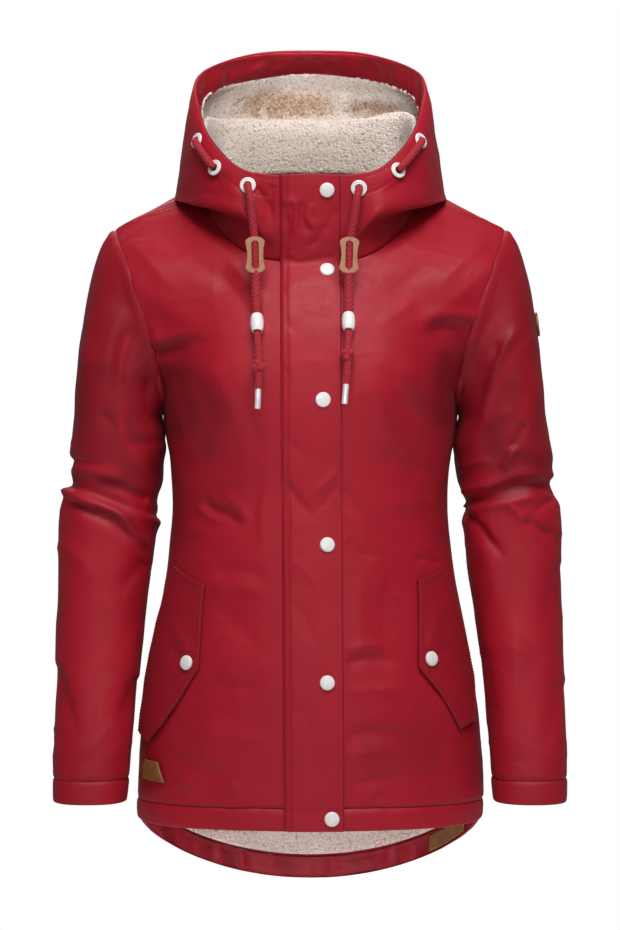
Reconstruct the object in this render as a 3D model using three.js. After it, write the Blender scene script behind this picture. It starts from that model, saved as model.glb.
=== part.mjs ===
// A hooded raincoat, filled out with no wearer. Millimetres, +Z up, the front faces -Y, the wearer's left is +X.
// The origin is at the base of the neck, where the garment rests on the shoulders.
import * as THREE from "three";

const CLOTH = 2, // shell cloth
  BAND = 4, // turned-up hems
  SHERPA = 3, // pile lining
  FACING = 1.5,
  PLACKET = 2.5,
  FLAP = 2,
  LEATHER = 1.6,
  GAP = 0.28, // each piece is held back this far at a seam
  LIFT = 0.5; // what lies on a panel stands off it by this much

const group = new THREE.Group();
const V = (x, y, z) => new THREE.Vector3(x, y, z);
const add = (a, b) => a.map((v, i) => v + b[i]);
const sub = (a, b) => a.map((v, i) => v - b[i]);
const mul = (a, s) => a.map((v) => v * s);
const len = (a) => Math.hypot(...a);
const unit = (a) => mul(a, 1 / (len(a) || 1));
const cross = (a, b) => [
  a[1] * b[2] - a[2] * b[1],
  a[2] * b[0] - a[0] * b[2],
  a[0] * b[1] - a[1] * b[0],
];
const mirror = (p) => [-p[0], p[1], p[2]];
const clamp = (v, a, b) => Math.min(b, Math.max(a, v));
const steps = (n, a = 0, b = 1) =>
  Array.from({ length: n + 1 }, (_, i) => a + ((b - a) * i) / n);

// Catmull-Rom through the rows of a table at a real row number, held between rows lo and hi.
function spline(table, at, lo = 0, hi = table.length - 1, reflect = null) {
  const k = clamp(at, lo, hi),
    i = Math.min(Math.floor(k), hi - 1),
    f = k - i;
  const under = reflect
    ? reflect(table[lo + 1])
    : table[lo].map((v, c) => 2 * v - table[lo + 1][c]);
  const over = reflect
    ? reflect(table[hi - 1])
    : table[hi].map((v, c) => 2 * v - table[hi - 1][c]);
  const g = (j) => (j < lo ? under : j > hi ? over : table[j]);
  const [a, b, c, d] = [g(i - 1), g(i), g(i + 1), g(i + 2)];
  return b.map(
    (v, n) =>
      v +
      0.5 *
        f *
        (c[n] -
          a[n] +
          f *
            (2 * a[n] -
              5 * v +
              4 * c[n] -
              d[n] +
              f * (3 * (v - c[n]) + d[n] - a[n]))),
  );
}
const bezier = (a, b, c, d, t) =>
  a.map(
    (v, i) =>
      v * (1 - t) ** 3 +
      3 * b[i] * t * (1 - t) ** 2 +
      3 * c[i] * t * t * (1 - t) +
      d[i] * t ** 3,
  );
function linear(xs, ys, x) {
  let i = 0;
  while (i < xs.length - 2 && x > xs[i + 1]) i++;
  const f = clamp((x - xs[i]) / (xs[i + 1] - xs[i]), 0, 1);
  return ys[i] + (ys[i + 1] - ys[i]) * f;
}

// Half of the front, a row from the centre to the side seam or the armhole. Rows 0-6 end on the side seam, 6-13 on the armhole;
// rows 0-9 start on the centre front, 9-13 on the neckline.
// centre x, y, z | handle, its dy, dz | side x, y, z | handle, angle, dz
const FRONT = [
  [0, -131, -634, 112, 0, 0, 187, 5, -636, 84, 90, 0],
  [0, -133, -560, 110, 0, 0, 183, 5, -560, 84, 90, 0],
  [0, -127, -480, 102, 0, 0, 171.5, 5, -480, 80, 90, 0],
  [0, -116, -400, 92, 0, 0, 156.5, 5, -400, 74, 90, 0],
  [0, -111, -330, 88, 0, 0, 148.7, 5, -330, 70, 90, 0],
  [0, -121, -277, 94, 0, 0, 150.7, 5, -277, 76, 90, 0],
  [0, -134, -225, 100, 0, 0, 159, 5, -219, 84, 90, 0],
  [0, -137, -180, 104, 0, 0, 156, -36, -201, 72, 72, -0.2],
  [0, -124, -125, 100, 0, 0, 160, -55, -175, 60, 50, -0.3],
  [0, -92, -66, 90, 0, 0, 170, -65, -143, 55, 35, -0.4],
  [67, -80, -56, 45, -0.1, -0.35, 183, -66, -102, 45, 25, -0.4],
  [90, -58, -38, 35, -0.2, -0.4, 195, -52, -67, 40, 20, -0.4],
  [106, -32, -18, 33, -0.15, -0.42, 204.5, -28, -44, 35, 12, -0.4],
  [113, 5, 13, 33, 0, -0.43, 210.5, -2, -29, 35, 5, -0.4],
];
// Half of the back, in the same rows: 0-10 start on the centre back, 10-13 on the neckline.
const BACK = [
  [0, 135, -720, 112, 0, 0, 187, 5, -636, 84, -90, 0.357],
  [0, 134, -612, 112, 0, 0, 183, 5, -560, 84, -90, 0.2],
  [0, 124, -510, 104, 0, 0, 171.5, 5, -480, 78, -90, 0.1],
  [0, 104, -415, 94, 0, 0, 156.5, 5, -400, 66, -90, 0],
  [0, 84, -335, 90, 0, 0, 148.7, 5, -330, 54, -90, 0],
  [0, 84, -277, 92, 0, 0, 150.7, 5, -277, 54, -90, 0],
  [0, 94, -220, 96, 0, 0, 159, 5, -219, 60, -90, 0],
  [0, 105, -150, 100, 0, 0, 163, 38, -200, 60, -75, -0.2],
  [0, 106, -80, 100, 0, 0, 171, 57, -168, 55, -55, -0.3],
  [0, 98, -15, 85, 0, 0, 180, 65, -130, 50, -40, -0.4],
  [0, 78, 39, 50, 0.1, -0.05, 190, 61, -92, 48, -30, -0.5],
  [55, 69, 37, 45, 0.1, -0.05, 200, 44, -60, 45, -20, -0.6],
  [97, 40, 28, 40, 0, 0, 207, 20, -38, 40, -8, -0.6],
  [113, 5, 13, 33, 0, -0.43, 210.5, -2, -29, 35, 5, -0.4],
];
// Half of the hood, one row a level from the neckline seam up to the rim, at nine stations:
// centre front, placket edge, low eyelet, mid eyelet, top eyelet, side, side back, panel seam, centre back
const HOOD = [
  [[0, -92, -66], [42, -88, -64], [67, -80, -56], [90, -58, -38], [106, -32, -18], [113, 5, 13], [97, 40, 28], [55, 69, 37], [0, 78, 39]],
  [[0, -96, -52], [42, -93, -50], [68, -84, -30], [88, -60, -15], [103, -33, 0], [119, 4, 25], [105, 44, 39], [58, 77, 45], [0, 87, 47]],
  [[0, -100, -38], [44, -99, -36], [71, -104, -19], [103, -80, -10], [126, -46, -3], [144.5, -2, 7], [136, 62, 14], [66, 113, 2], [0, 121, -2]],
  [[0, -102, -15], [45, -101, -13], [76, -103, -4], [107, -78, 4], [129, -45, 10], [143.5, 2, 17], [138, 70, 24], [69, 132, 18], [0, 142, 15]],
  [[0, -104, 5], [45, -103, 6], [78, -98, 15], [109, -73, 33], [129, -40, 52], [138, 4, 58], [133, 78, 72], [68, 146, 75], [0, 158, 75]],
  [[0, -105, 16], [45, -104, 16], [78.5, -95, 26], [109, -68, 52], [126, -35, 82], [132, 6, 104], [124, 66, 130], [64, 116, 148], [0, 128, 152]],
  [[0, -105, 25], [46, -104, 25], [78.5, -92, 35.5], [106, -64, 66], [119.5, -34, 101], [125, 8, 136], [109, 36, 157], [60, 70, 176], [0, 80, 180]],
];
// The pile lining of the hood at the same stations: neck, stand, ridge of the collar roll, valley behind it, inner wall, crown, edge at the facing
const LINING = [
  [[0, -84, -60], [38, -81, -58], [61, -73, -50], [82, -53, -31], [98, -28, -10], [105, 5, 19], [90, 34, 33], [51, 62, 42], [0, 70, 44]],
  [[0, -90, -35], [40, -88, -33], [63, -79, -20], [86, -56, 5], [100, -28, 30], [107, 8, 60], [93, 42, 68], [52, 66, 74], [0, 72, 76]],
  [[0, -94, -15], [41, -92, -13], [67, -83, -2], [92, -60, 25], [107, -26, 60], [111, 12, 95], [94, 50, 101], [54, 74, 104], [0, 80, 104.5]],
  [[0, -95.5, -9], [42, -93.5, -8], [69, -84, 2], [95, -61, 31], [109.5, -26, 67], [117, 18, 92], [108, 62, 86], [58, 104, 80], [0, 112, 78]],
  [[0, -96.5, -5], [43, -94.5, -4], [71, -85, 5], [97, -61, 35], [111, -27, 71], [120, 20, 99], [117, 66, 104], [61, 134, 100], [0, 145, 98]],
  [[0, -97.5, -1], [43.5, -95.5, -1], [72.5, -86, 8], [99, -61, 39], [112.5, -28, 75], [118.5, 15, 106], [109, 58, 124], [58, 116, 134], [0, 128, 138]],
  [[0, -98.5, 3], [44, -96.5, 3], [73.5, -87, 11], [100, -61, 43], [113, -28, 79], [115.5, 10, 109], [98, 50, 134], [55, 91, 151], [0, 102, 158]],
];
// Sleeve rings: z, x, y of the centre, half width, half depth, tilt in degrees (outer side lower)
const RINGS = [
  [-238, 211.5, 5, 49.5, 68, 8],
  [-262, 210.3, 8, 55, 66, 7],
  [-280, 208.8, 10, 52.8, 63, 6],
  [-292, 209.5, 12, 51.8, 60, 5],
  [-304, 213.6, 13, 54, 58, 4],
  [-318, 217.3, 14, 53.8, 58, 3],
  [-343, 218.6, 14, 54.4, 58, 2],
  [-369, 220.5, 12, 52.4, 57, 2],
  [-420, 224, 5, 48.7, 55, 1],
  [-472, 227, -5, 46.3, 52, 0],
  [-522, 229.8, -17, 44, 49, 0],
  [-573, 232.1, -29, 41.9, 46.5, 0],
  [-611, 233.6, -36, 40.6, 45, 0],
  [-636, 234.5, -40, 39.2, 44, 0],
];

const tableOf = (front) => (front ? FRONT : BACK);
const part3 = (table, from) => table.map((r) => r.slice(from, from + 3));
const CENTRE = { true: part3(FRONT, 0), false: part3(BACK, 0) };
const SIDE = { true: part3(FRONT, 6), false: part3(BACK, 6) };
const station = (k, front) =>
  front
    ? linear([9, 10, 11, 12, 13], [0, 2, 3, 4, 5], k)
    : clamp(18 - k, 5, 8);
const neckline = (s) => spline(HOOD[0], s, 0, 8, mirror);
const NECK_ROW = { true: 9, false: 10 };
const inner = (k, front) =>
  k <= NECK_ROW[front]
    ? spline(CENTRE[front], k, 0, NECK_ROW[front])
    : neckline(station(k, front));
const outer = (k, front) =>
  k <= 6 ? spline(SIDE[front], k, 0, 6) : spline(SIDE[front], k, 6, 13);
// A point of the body: row k, t from the centre (0) to the side (1).
function body(k, t, front) {
  const q = spline(tableOf(front), k),
    a = (q[10] * Math.PI) / 180,
    p0 = inner(k, front),
    p1 = outer(k, front);
  const c0 = add(p0, [q[3], q[3] * q[4], q[3] * q[5]]),
    c1 = sub(p1, [
      q[9] * Math.cos(a),
      q[9] * Math.sin(a),
      q[9] * q[11],
    ]);
  const p = bezier(p0, c0, c1, p1, t);
  if (front)
    p[1] -=
      8 *
      Math.exp(-(((p[0] - 80) / 42) ** 2) - ((p[2] + 195) / 48) ** 2) *
      Math.sqrt(Math.max(0, Math.sin(Math.PI * t)));
  return p;
}
function levels(grid, s, l) {
  return spline(
    grid.map((level) => spline(level, s, 0, 8, mirror)),
    l,
  );
}
const hood = (s, l) => levels(HOOD, s, l);

function ring(r, a) {
  const [z, x, y, hw, hd, tilt] = spline(RINGS, r),
    th = 2 * Math.PI * a,
    ti = (tilt * Math.PI) / 180,
    sq = 1 + 0.06 * Math.sin(2 * th) ** 2,
    u = -hw * Math.cos(th) * sq;
  return [
    x + u * Math.cos(ti),
    y - hd * Math.sin(th) * sq,
    z - u * Math.sin(ti),
  ];
}
// The sleeve: a runs round from the armpit through the front; r -1..0 is the cap, 0..13 the rings.
function sleeve(r, a) {
  if (r >= 0) return ring(r, a);
  const f = a <= 0.5,
    k = f ? 6 + 14 * a : 20 - 14 * a,
    q = spline(tableOf(f), k),
    an = (q[10] * Math.PI) / 180,
    w = Math.sin(Math.PI * a) ** 2,
    p = add(outer(k, f), [2 * (1 - w) ** 6, 0, 0]); // clear of the body under the arm
  const out = unit(
    add(mul([Math.cos(an), Math.sin(an), q[11]], w), mul([0.5, 0, -1], 1 - w)),
  );
  const e = ring(0, a),
    up = unit(sub(e, ring(0.35, a))),
    L = len(sub(e, p));
  return bezier(
    p,
    add(p, mul(out, L * (0.33 - 0.165 * w))),
    add(e, mul(up, L * (0.33 + 0.17 * w))),
    e,
    r + 1,
  );
}

// Row numbers and columns every panel shares, so that pieces meet point for point.
const SKIRT = [0, 0.6, 1.2, 1.8, 2.4, 3, 3.6, 4.2, 4.8, 5.4, 6];
const YOKE = [6, 6.75, 7.5, 8.25, 9, 9.5, 10, 10.75, 11.5, 12.25, 13];
const ROWS = [...SKIRT, ...YOKE.slice(1)];
const COLS = steps(8);
const AROUND = [
  ...YOKE.map((k) => (k - 6) / 14),
  ...YOKE.slice(1, -1)
    .reverse()
    .map((k) => (20 - k) / 14),
];

// ---- panels: a grid of points whose normal (rows x columns) faces out, given thickness inwards ----
const panels = [];
function panel(name, grid, o = {}) {
  panels.push({ name, grid, t: CLOTH, shell: true, ...o });
}
const key = (p) => p.map((v) => Math.round(v * 50)).join();
function normals(list) {
  const sums = new Map();
  for (const { grid, wrap } of list) {
    const m = grid[0].length;
    for (let i = 0; i < grid.length - 1; i++)
      for (let j = 0; j < (wrap ? m : m - 1); j++) {
        const a = grid[i][j],
          b = grid[i][(j + 1) % m],
          c = grid[i + 1][(j + 1) % m],
          d = grid[i + 1][j];
        const n = cross(sub(c, a), sub(d, b));
        for (const p of [a, b, c, d])
          sums.set(key(p), add(sums.get(key(p)) || [0, 0, 0], n));
      }
  }
  return (p) => unit(sums.get(key(p)));
}
// Closed solid of an outer and an inner grid.
function slab(name, top, low, wrap) {
  const n = top.length,
    m = top[0].length,
    at = [...top.flat(), ...low.flat()].flat(),
    T = (i, j) => i * m + (j % m),
    B = (i, j) => n * m + i * m + (j % m),
    index = [];
  const far = (a, b) =>
    Math.hypot(...[0, 1, 2].map((c) => at[3 * a + c] - at[3 * b + c]));
  // split along the shorter diagonal, so that a mirrored panel gets mirrored facets
  const quad = (a, b, c, d) =>
    far(a, c) <= far(b, d) + 1e-4
      ? index.push(a, b, c, a, c, d)
      : index.push(a, b, d, b, c, d);
  const cols = wrap ? m : m - 1;
  for (let i = 0; i < n - 1; i++)
    for (let j = 0; j < cols; j++) {
      quad(T(i, j), T(i, j + 1), T(i + 1, j + 1), T(i + 1, j));
      quad(B(i, j), B(i + 1, j), B(i + 1, j + 1), B(i, j + 1));
    }
  for (let j = 0; j < cols; j++) {
    quad(B(0, j), B(0, j + 1), T(0, j + 1), T(0, j));
    quad(T(n - 1, j), T(n - 1, j + 1), B(n - 1, j + 1), B(n - 1, j));
  }
  if (!wrap)
    for (let i = 0; i < n - 1; i++) {
      quad(T(i, 0), T(i + 1, 0), B(i + 1, 0), B(i, 0));
      quad(B(i, m - 1), B(i + 1, m - 1), T(i + 1, m - 1), T(i, m - 1));
    }
  const g = new THREE.BufferGeometry();
  g.setAttribute("position", new THREE.Float32BufferAttribute(at, 3));
  g.setIndex(index);
  solid(name, g);
}
function solid(name, geometry) {
  const mesh = new THREE.Mesh(geometry);
  mesh.name = name;
  group.add(mesh);
}
// Draws the edges of a grid back from the seam, square to the seam.
function pulled(grid, wrap, gap = GAP, topGap = GAP) {
  const n = grid.length,
    m = grid[0].length;
  return grid.map((row, i) =>
    row.map((p, j) => {
      let q = p;
      const pull = (to, before, after, by = gap) => {
        const along = unit(sub(after, before)),
          way = sub(to, p),
          dot = way.reduce((v, w, c) => v + w * along[c], 0);
        q = add(q, mul(unit(sub(way, mul(along, dot))), by));
      };
      const jl = wrap ? (j + m - 1) % m : Math.max(j - 1, 0),
        jr = wrap ? (j + 1) % m : Math.min(j + 1, m - 1),
        il = Math.max(i - 1, 0),
        ir = Math.min(i + 1, n - 1);
      if (i === 0) pull(grid[1][j], row[jl], row[jr]);
      if (i === n - 1) pull(grid[n - 2][j], row[jl], row[jr], topGap);
      if (!wrap && j === 0) pull(grid[i][1], grid[il][j], grid[ir][j]);
      if (!wrap && j === m - 1) pull(grid[i][m - 2], grid[il][j], grid[ir][j]);
      return q;
    }),
  );
}
function build() {
  const ofHood = (p) => p.name.startsWith("hood");
  const shells = {
    true: normals(panels.filter((p) => p.shell && ofHood(p))),
    false: normals(panels.filter((p) => p.shell && !ofHood(p))),
  };
  for (const p of panels) {
    // panels that meet share one direction at the seam, but in the fold under the arm each keeps its own
    const own = normals([p]),
      shared = shells[ofHood(p)];
    const n = (q) => {
      if (!p.shell) return own(q);
      const a = own(q),
        b = shared(q);
      return q[2] < -150 && a[0] * b[0] + a[1] * b[1] + a[2] * b[2] < 0.92 ? a : b;
    };
    const wrap = !!p.wrap,
      base = pulled(p.grid, wrap, GAP, p.topGap || GAP);
    const up = p.lift || 0;
    const top = base.map((row, i) =>
      row.map((q, j) => add(q, mul(n(p.grid[i][j]), up))),
    );
    const low = top.map((row, i) =>
      row.map((q, j) => sub(q, mul(n(p.grid[i][j]), p.t))),
    );
    slab(p.name, top, low, wrap);
  }
}
const flip = (grid) => grid.map((row) => [...row].reverse());
const mirrored = (grid) => flip(grid.map((row) => row.map(mirror)));

// ---- body ----
const left = ROWS.map((k) => COLS.map((t) => body(k, t, true)));
panel("front_left", left, { topGap: 0.9 });
panel("front_right", mirrored(left), { topGap: 0.9 });
const halfBack = ROWS.map((k) => COLS.map((t) => body(k, t, false)));
const whole = halfBack.map((row) => [
  ...[...row].reverse(),
  ...row.slice(1).map(mirror),
]);
const backLeft = flip(halfBack);
panel("back_left", backLeft, { topGap: 0.7 });
panel("back_right", mirrored(backLeft), { topGap: 0.7 });

// ---- hem bands: the seam row and the same row let down ----
const drop = (u) => 23.5 - 4 * u ** 4;
const down = (row, u) =>
  row.map((p, j) => [p[0], p[1], p[2] - drop(u(j, row.length))]);
const hemBand = (row, u) => [down(row, u), row];
panel("hem_front_left", hemBand(left[0], (j, n) => j / (n - 1)), { t: BAND });
panel(
  "hem_front_right",
  mirrored(hemBand(left[0], (j, n) => j / (n - 1))),
  { t: BAND },
);
panel(
  "hem_back",
  hemBand(whole[0], (j, n) => Math.abs((2 * j) / (n - 1) - 1)),
  { t: BAND },
);

// ---- sleeves and cuffs ----
const SLEEVE_ROWS = [-1, -0.75, -0.5, -0.25, 0, 1, 2, 3, 4, 5, 6, 7, 8, 9, 10.2, 11.2, 12];
const tube = (rows) =>
  [...rows].reverse().map((r) => AROUND.map((a) => sleeve(r, a)));
panel("sleeve_left", tube(SLEEVE_ROWS), { wrap: true });
panel("sleeve_right", mirrored(tube(SLEEVE_ROWS)), { wrap: true });
panel("cuff_left", tube([12, 13]), { wrap: true, t: BAND });
panel("cuff_right", mirrored(tube([12, 13])), { wrap: true, t: BAND });

// ---- hood ----
const NECK_FRONT = YOKE.filter((k) => k >= 9).map((k) => station(k, true));
const NECK_BACK = YOKE.filter((k) => k >= 10)
  .map((k) => station(k, false))
  .reverse();
const NECK = [...NECK_FRONT, ...NECK_BACK.slice(1)];
// More columns than the body has: the extra ones keep to the straight lines between the body's points at the seam.
const STATIONS = NECK.flatMap((s, i) =>
  i && s - NECK[i - 1] > 0.6
    ? [s > 7 && NECK[i - 1] < 7 ? 7 : (s + NECK[i - 1]) / 2, s]
    : [s],
);
const onSeam = (s) => {
  let i = 0;
  while (i < NECK.length - 2 && s > NECK[i + 1]) i++;
  const f = (s - NECK[i]) / (NECK[i + 1] - NECK[i]),
    a = neckline(NECK[i]),
    b = neckline(NECK[i + 1]);
  return f < 1e-9 ? a : f > 1 - 1e-9 ? b : a.map((v, c) => v + (b[c] - v) * f);
};
const LEVELS = [0, 1, 2, 2.5, 3, 3.6, 4.2, 4.7, 5.3, 6];
const sheet = (list) =>
  LEVELS.map((l) => list.map((s) => (l ? hood(s, l) : onSeam(s))));
const sideStations = STATIONS.filter((s) => s <= 7.01);
const backStations = STATIONS.filter((s) => s >= 6.99);
const hoodSide = sheet(sideStations);
panel("hood_left", hoodSide);
panel("hood_right", mirrored(hoodSide));
panel(
  "hood_centre",
  sheet(backStations).map((row) => [...row, ...[...row].reverse().slice(1).map(mirror)]),
);

// ---- lining and facing of the hood: their seen side faces the hollow ----
const closed = (row) => [...row, ...[...row].reverse().slice(1).map(mirror)];
const LS = [0, 0.7, 1.4, 2, 2.7, 3.4, 4.1, 4.7, 5.3, 6, 6.7, 7.4, 8];
panel(
  "hood_lining",
  flip([0, 1, 2, 2.6, 3, 3.5, 4, 5, 6].map((l) =>
    closed(LS.map((s) => levels(LINING, s, l))),
  )),
  { t: SHERPA, shell: false },
);
const inset = (p, by) => {
  // towards the axis of the hood opening
  const c = [0, -12, p[2] - 0];
  const d = unit([c[0] - p[0], c[1] - p[1], 0]);
  return add(p, mul(d, by));
};
panel(
  "hood_facing",
  flip([0, 0.5, 1].map((f) =>
    closed(
      LS.map((s) => {
        const a = add(inset(hood(s, 6), CLOTH + FACING + 1.2), [0, 0, -1]),
          b = levels(LINING, s, 6),
          up = unit(sub(a, b)),
          low = add(b, mul(up, 2.2));
        return low.map((v, i) => v + (a[i] - v) * f);
      }),
    ),
  )),
  { t: FACING, shell: false },
);

// ---- back lining: the back's own points, moved in ----
const backNormals = normals([{ grid: whole }]);
const LINED = SKIRT.map((k, i) => i).filter((i) => SKIRT[i] < 4.5);
panel(
  "back_lining",
  flip(
    LINED.map((i) =>
      whole[i].map((p, j) => {
        const n = backNormals(p);
        let q = sub(p, mul(n, CLOTH + SHERPA + LIFT + 0.4));
        if (j === 0 || j === whole[i].length - 1) {
          const to = whole[i][j === 0 ? 1 : j - 1];
          q = add(q, mul(unit(sub(to, p)), 7));
        }
        if (i === 0) q[2] += 3;
        return q;
      }),
    ),
  ),
  { t: SHERPA, shell: false },
);

// ---- placket: a strip over both fronts and the front of the hood ----
const bisect = (f, want, lo, hi) => {
  for (let i = 0; i < 40; i++) {
    const mid = (lo + hi) / 2;
    if (f(mid) < want) lo = mid;
    else hi = mid;
  }
  return (lo + hi) / 2;
};
const onFront = (k, x) => {
  const p = body(k, bisect((t) => body(k, t, true)[0], Math.abs(x), 0, 0.5), true);
  return [x, p[1], p[2]];
};
const onHood = (l, x) => {
  const p = hood(bisect((s) => hood(s, l)[0], Math.abs(x), 0, 1.6), l);
  return [x, p[1], p[2]];
};
const EDGE = { left: [-27, -32], right: [35, 31] }; // x at the hem and at the top
const placketX = (z) => {
  const f = clamp((z + 657) / 682, 0, 1);
  return [0, 0.34, 0.66, 1].map((u) => {
    const a = EDGE.left[0] + (EDGE.left[1] - EDGE.left[0]) * f,
      b = EDGE.right[0] + (EDGE.right[1] - EDGE.right[0]) * f;
    return a + (b - a) * u;
  });
};
const strip = [];
strip.push(
  placketX(-657).map((x) => add(onFront(0, x), [0, 0, -drop(0)])),
);
for (const k of [...SKIRT, 6.75, 7.5, 8.25, 8.97])
  strip.push(placketX(body(k, 0, true)[2]).map((x) => onFront(k, x)));
for (const l of [1, 2, 3, 4, 5, 6])
  strip.push(placketX(hood(0, l)[2]).map((x) => onHood(l, x)));
panel("placket", strip, { t: PLACKET, lift: PLACKET + LIFT, shell: false });

// ---- pocket flaps: the front's own points between two edges ----
// back edge row, t | front edge row, t, from the pocket mouth down
const FLAP_RIGHT = [
  [3.19, 0.74, 2.945, 0.478],
  [2.85, 0.8, 2.6, 0.47],
  [2.4, 0.87, 2.2, 0.455],
  [1.95, 0.9, 1.855, 0.445],
  [1.6, 0.905, 1.4, 0.544],
  [1.25, 0.905, 1.1, 0.627],
  [0.95, 0.9, 0.84, 0.744],
];
const FLAP_LEFT = [
  [3.15, 0.7, 3.01, 0.5],
  [2.9, 0.76, 2.65, 0.48],
  [2.5, 0.82, 2.25, 0.455],
  [2.0, 0.875, 1.875, 0.432],
  [1.7, 0.885, 1.52, 0.534],
  [1.4, 0.85, 1.28, 0.59],
  [1.12, 0.79, 1.04, 0.643],
];
function flap(name, table, mirrorIt, t = FLAP, cols = 5) {
  const grid = [...table].reverse().map(([ka, ta, kb, tb]) =>
    steps(cols).map((u) => body(kb + (ka - kb) * u, tb + (ta - tb) * u, true)),
  );
  panel(name, mirrorIt ? mirrored(grid) : grid, {
    t,
    lift: t + 3 * LIFT,
    shell: false,
  });
}
flap("flap_right", FLAP_RIGHT, true);
flap("flap_left", FLAP_LEFT, false);
// hem label on the right front, above the band
flap(
  "label_hem_front",
  [
    [0.595, 0.788, 0.583, 0.651],
    [0.318, 0.88, 0.303, 0.598],
  ],
  true,
  LEATHER,
  4,
);

// leather patch on the inner face of the back hem band, at the wearer's left
{
  const n = normals([{ grid: [down(whole[0], (j, m) => Math.abs((2 * j) / (m - 1) - 1)), whole[0]] }]);
  const grid = [0.1, 0.9].map((f) =>
    [2, 3, 4].map((j) => {
      const top = whole[0][j],
        low = down(whole[0], (q, m) => Math.abs((2 * q) / (m - 1) - 1))[j],
        p = low.map((v, i) => v + (top[i] - v) * f);
      return sub(p, mul(n(top), BAND + LIFT));
    }),
  );
  panel("label_hem_back", flip(grid), { t: LEATHER, lift: LEATHER, shell: false });
}

build();

// ---- turned and set hardware ----
function lathe(name, profile, place, turns = 20) {
  const pts = profile.map(([r, z]) => new THREE.Vector2(Math.max(r, 0), z));
  const g = new THREE.LatheGeometry(pts, turns); // round +Y
  g.rotateX(Math.PI / 2); // round +Z
  place(g);
  solid(name, g);
}
// Turns +Z to the direction n and moves to p.
const set = (p, n) => (g) => {
  const q = new THREE.Quaternion().setFromUnitVectors(V(0, 0, 1), V(...n).normalize());
  g.applyQuaternion(q);
  g.translate(...p);
};
const numeric = (f, u, v, e = 0.02) => {
  const a = sub(f(u + e, v), f(u - e, v)),
    b = sub(f(u, v + e), f(u, v - e));
  const n = unit(cross(b, a));
  return n;
};
const frontNormal = (k, t) => {
  const n = numeric((a, b) => body(a, b, true), k, t);
  return n[1] < 0 ? n : mul(n, -1);
};
const hoodNormal = (s, l) => {
  const n = numeric((a, b) => hood(a, b), s, l),
    p = hood(s, l);
  return n[0] * p[0] + n[1] * (p[1] + 12) > 0 ? n : mul(n, -1);
};
const CAP = [
  [0, 0],
  [7.4, 0],
  [7.7, 0.6],
  [7.5, 1.6],
  [6.2, 2.5],
  [3.4, 3],
  [0, 3.1],
];
// snaps down the placket: row or level, x
const SNAPS = [
  ["hood", 4.238, 17.7],
  ["front", 8.82, 17.8],
  ["front", 6.317, 13.5],
  ["front", 3.522, 17.7],
  ["front", 1.703, 17.6],
  ["band", 0, 22.4],
];
SNAPS.forEach(([on, at, x], i) => {
  let p, n;
  if (on === "hood") {
    p = onHood(at, x);
    n = hoodNormal(0.4, at);
  } else {
    const t = bisect((u) => body(at, u, true)[0], x, 0, 0.5);
    p = onFront(at, x);
    n = frontNormal(Math.max(at, 0.03), t);
    if (on === "band") p = add(p, [0, 0, -10]);
  }
  lathe("snap_" + (i + 1), CAP, set(add(p, mul(n, PLACKET + 2 * LIFT + 0.6)), n));
});
[
  ["snap_pocket_right", 1.925, 0.511, -1],
  ["snap_pocket_left", 1.978, 0.502, 1],
].forEach(([name, k, t, side]) => {
  const p = body(k, t, true),
    n = frontNormal(k, t),
    q = add(p, mul(n, FLAP + 3 * LIFT + 0.9));
  lathe(name, CAP, set([q[0] * side, q[1], q[2]], [n[0] * side, n[1], n[2]]));
});

// eyelets: side of the hood, station, level
const EYELETS = [
  ["right_low", -1, 1.57, 4.239],
  ["right_mid", -1, 2.652, 4.404],
  ["right_top", -1, 3.491, 4.909],
  ["left_low", 1, 1.158, 4.248],
  ["left_mid", 1, 2.409, 4.573],
  ["left_top", 1, 3.373, 5.082],
];
const RIM = [
  [4.1, 0.2],
  [8.2, 0],
  [8.5, 0.5],
  [7.9, 1.6],
  [6.2, 2.2],
  [4.6, 1.7],
  [4.1, 0.9],
  [4.1, 0.2],
];
const EYE = {};
for (const [name, side, s, l] of EYELETS) {
  const p = hood(s, l),
    n = hoodNormal(s, l);
  const at = [side * p[0], p[1], p[2]],
    no = [side * n[0], n[1], n[2]];
  EYE[name] = { at, no };
  lathe("eyelet_" + name, RIM, set(add(at, mul(no, 0.9)), no));
}

// ---- drawcords ----
const CORD = 8; // diameter
const path = (points) =>
  new THREE.CatmullRomCurve3(points.map((p) => V(...p)), false, "centripetal");
function cord(name, points, segments) {
  const c = path(points),
    g = new THREE.TubeGeometry(c, segments, CORD / 2, 10, false);
  // close both ends with a fan
  const pos = [...g.attributes.position.array],
    index = [...g.index.array];
  const ringSize = 11;
  for (const [at, turn] of [
    [0, false],
    [segments, true],
  ]) {
    const p = c.getPointAt(at / segments);
    pos.push(p.x, p.y, p.z);
    const m = pos.length / 3 - 1;
    for (let j = 0; j < 10; j++) {
      const a = at * ringSize + j,
        b = a + 1;
      turn ? index.push(m, b, a) : index.push(m, a, b);
    }
  }
  const closedTube = new THREE.BufferGeometry();
  closedTube.setAttribute("position", new THREE.Float32BufferAttribute(pos, 3));
  closedTube.setIndex(index);
  solid(name, closedTube);
  return c;
}
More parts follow.
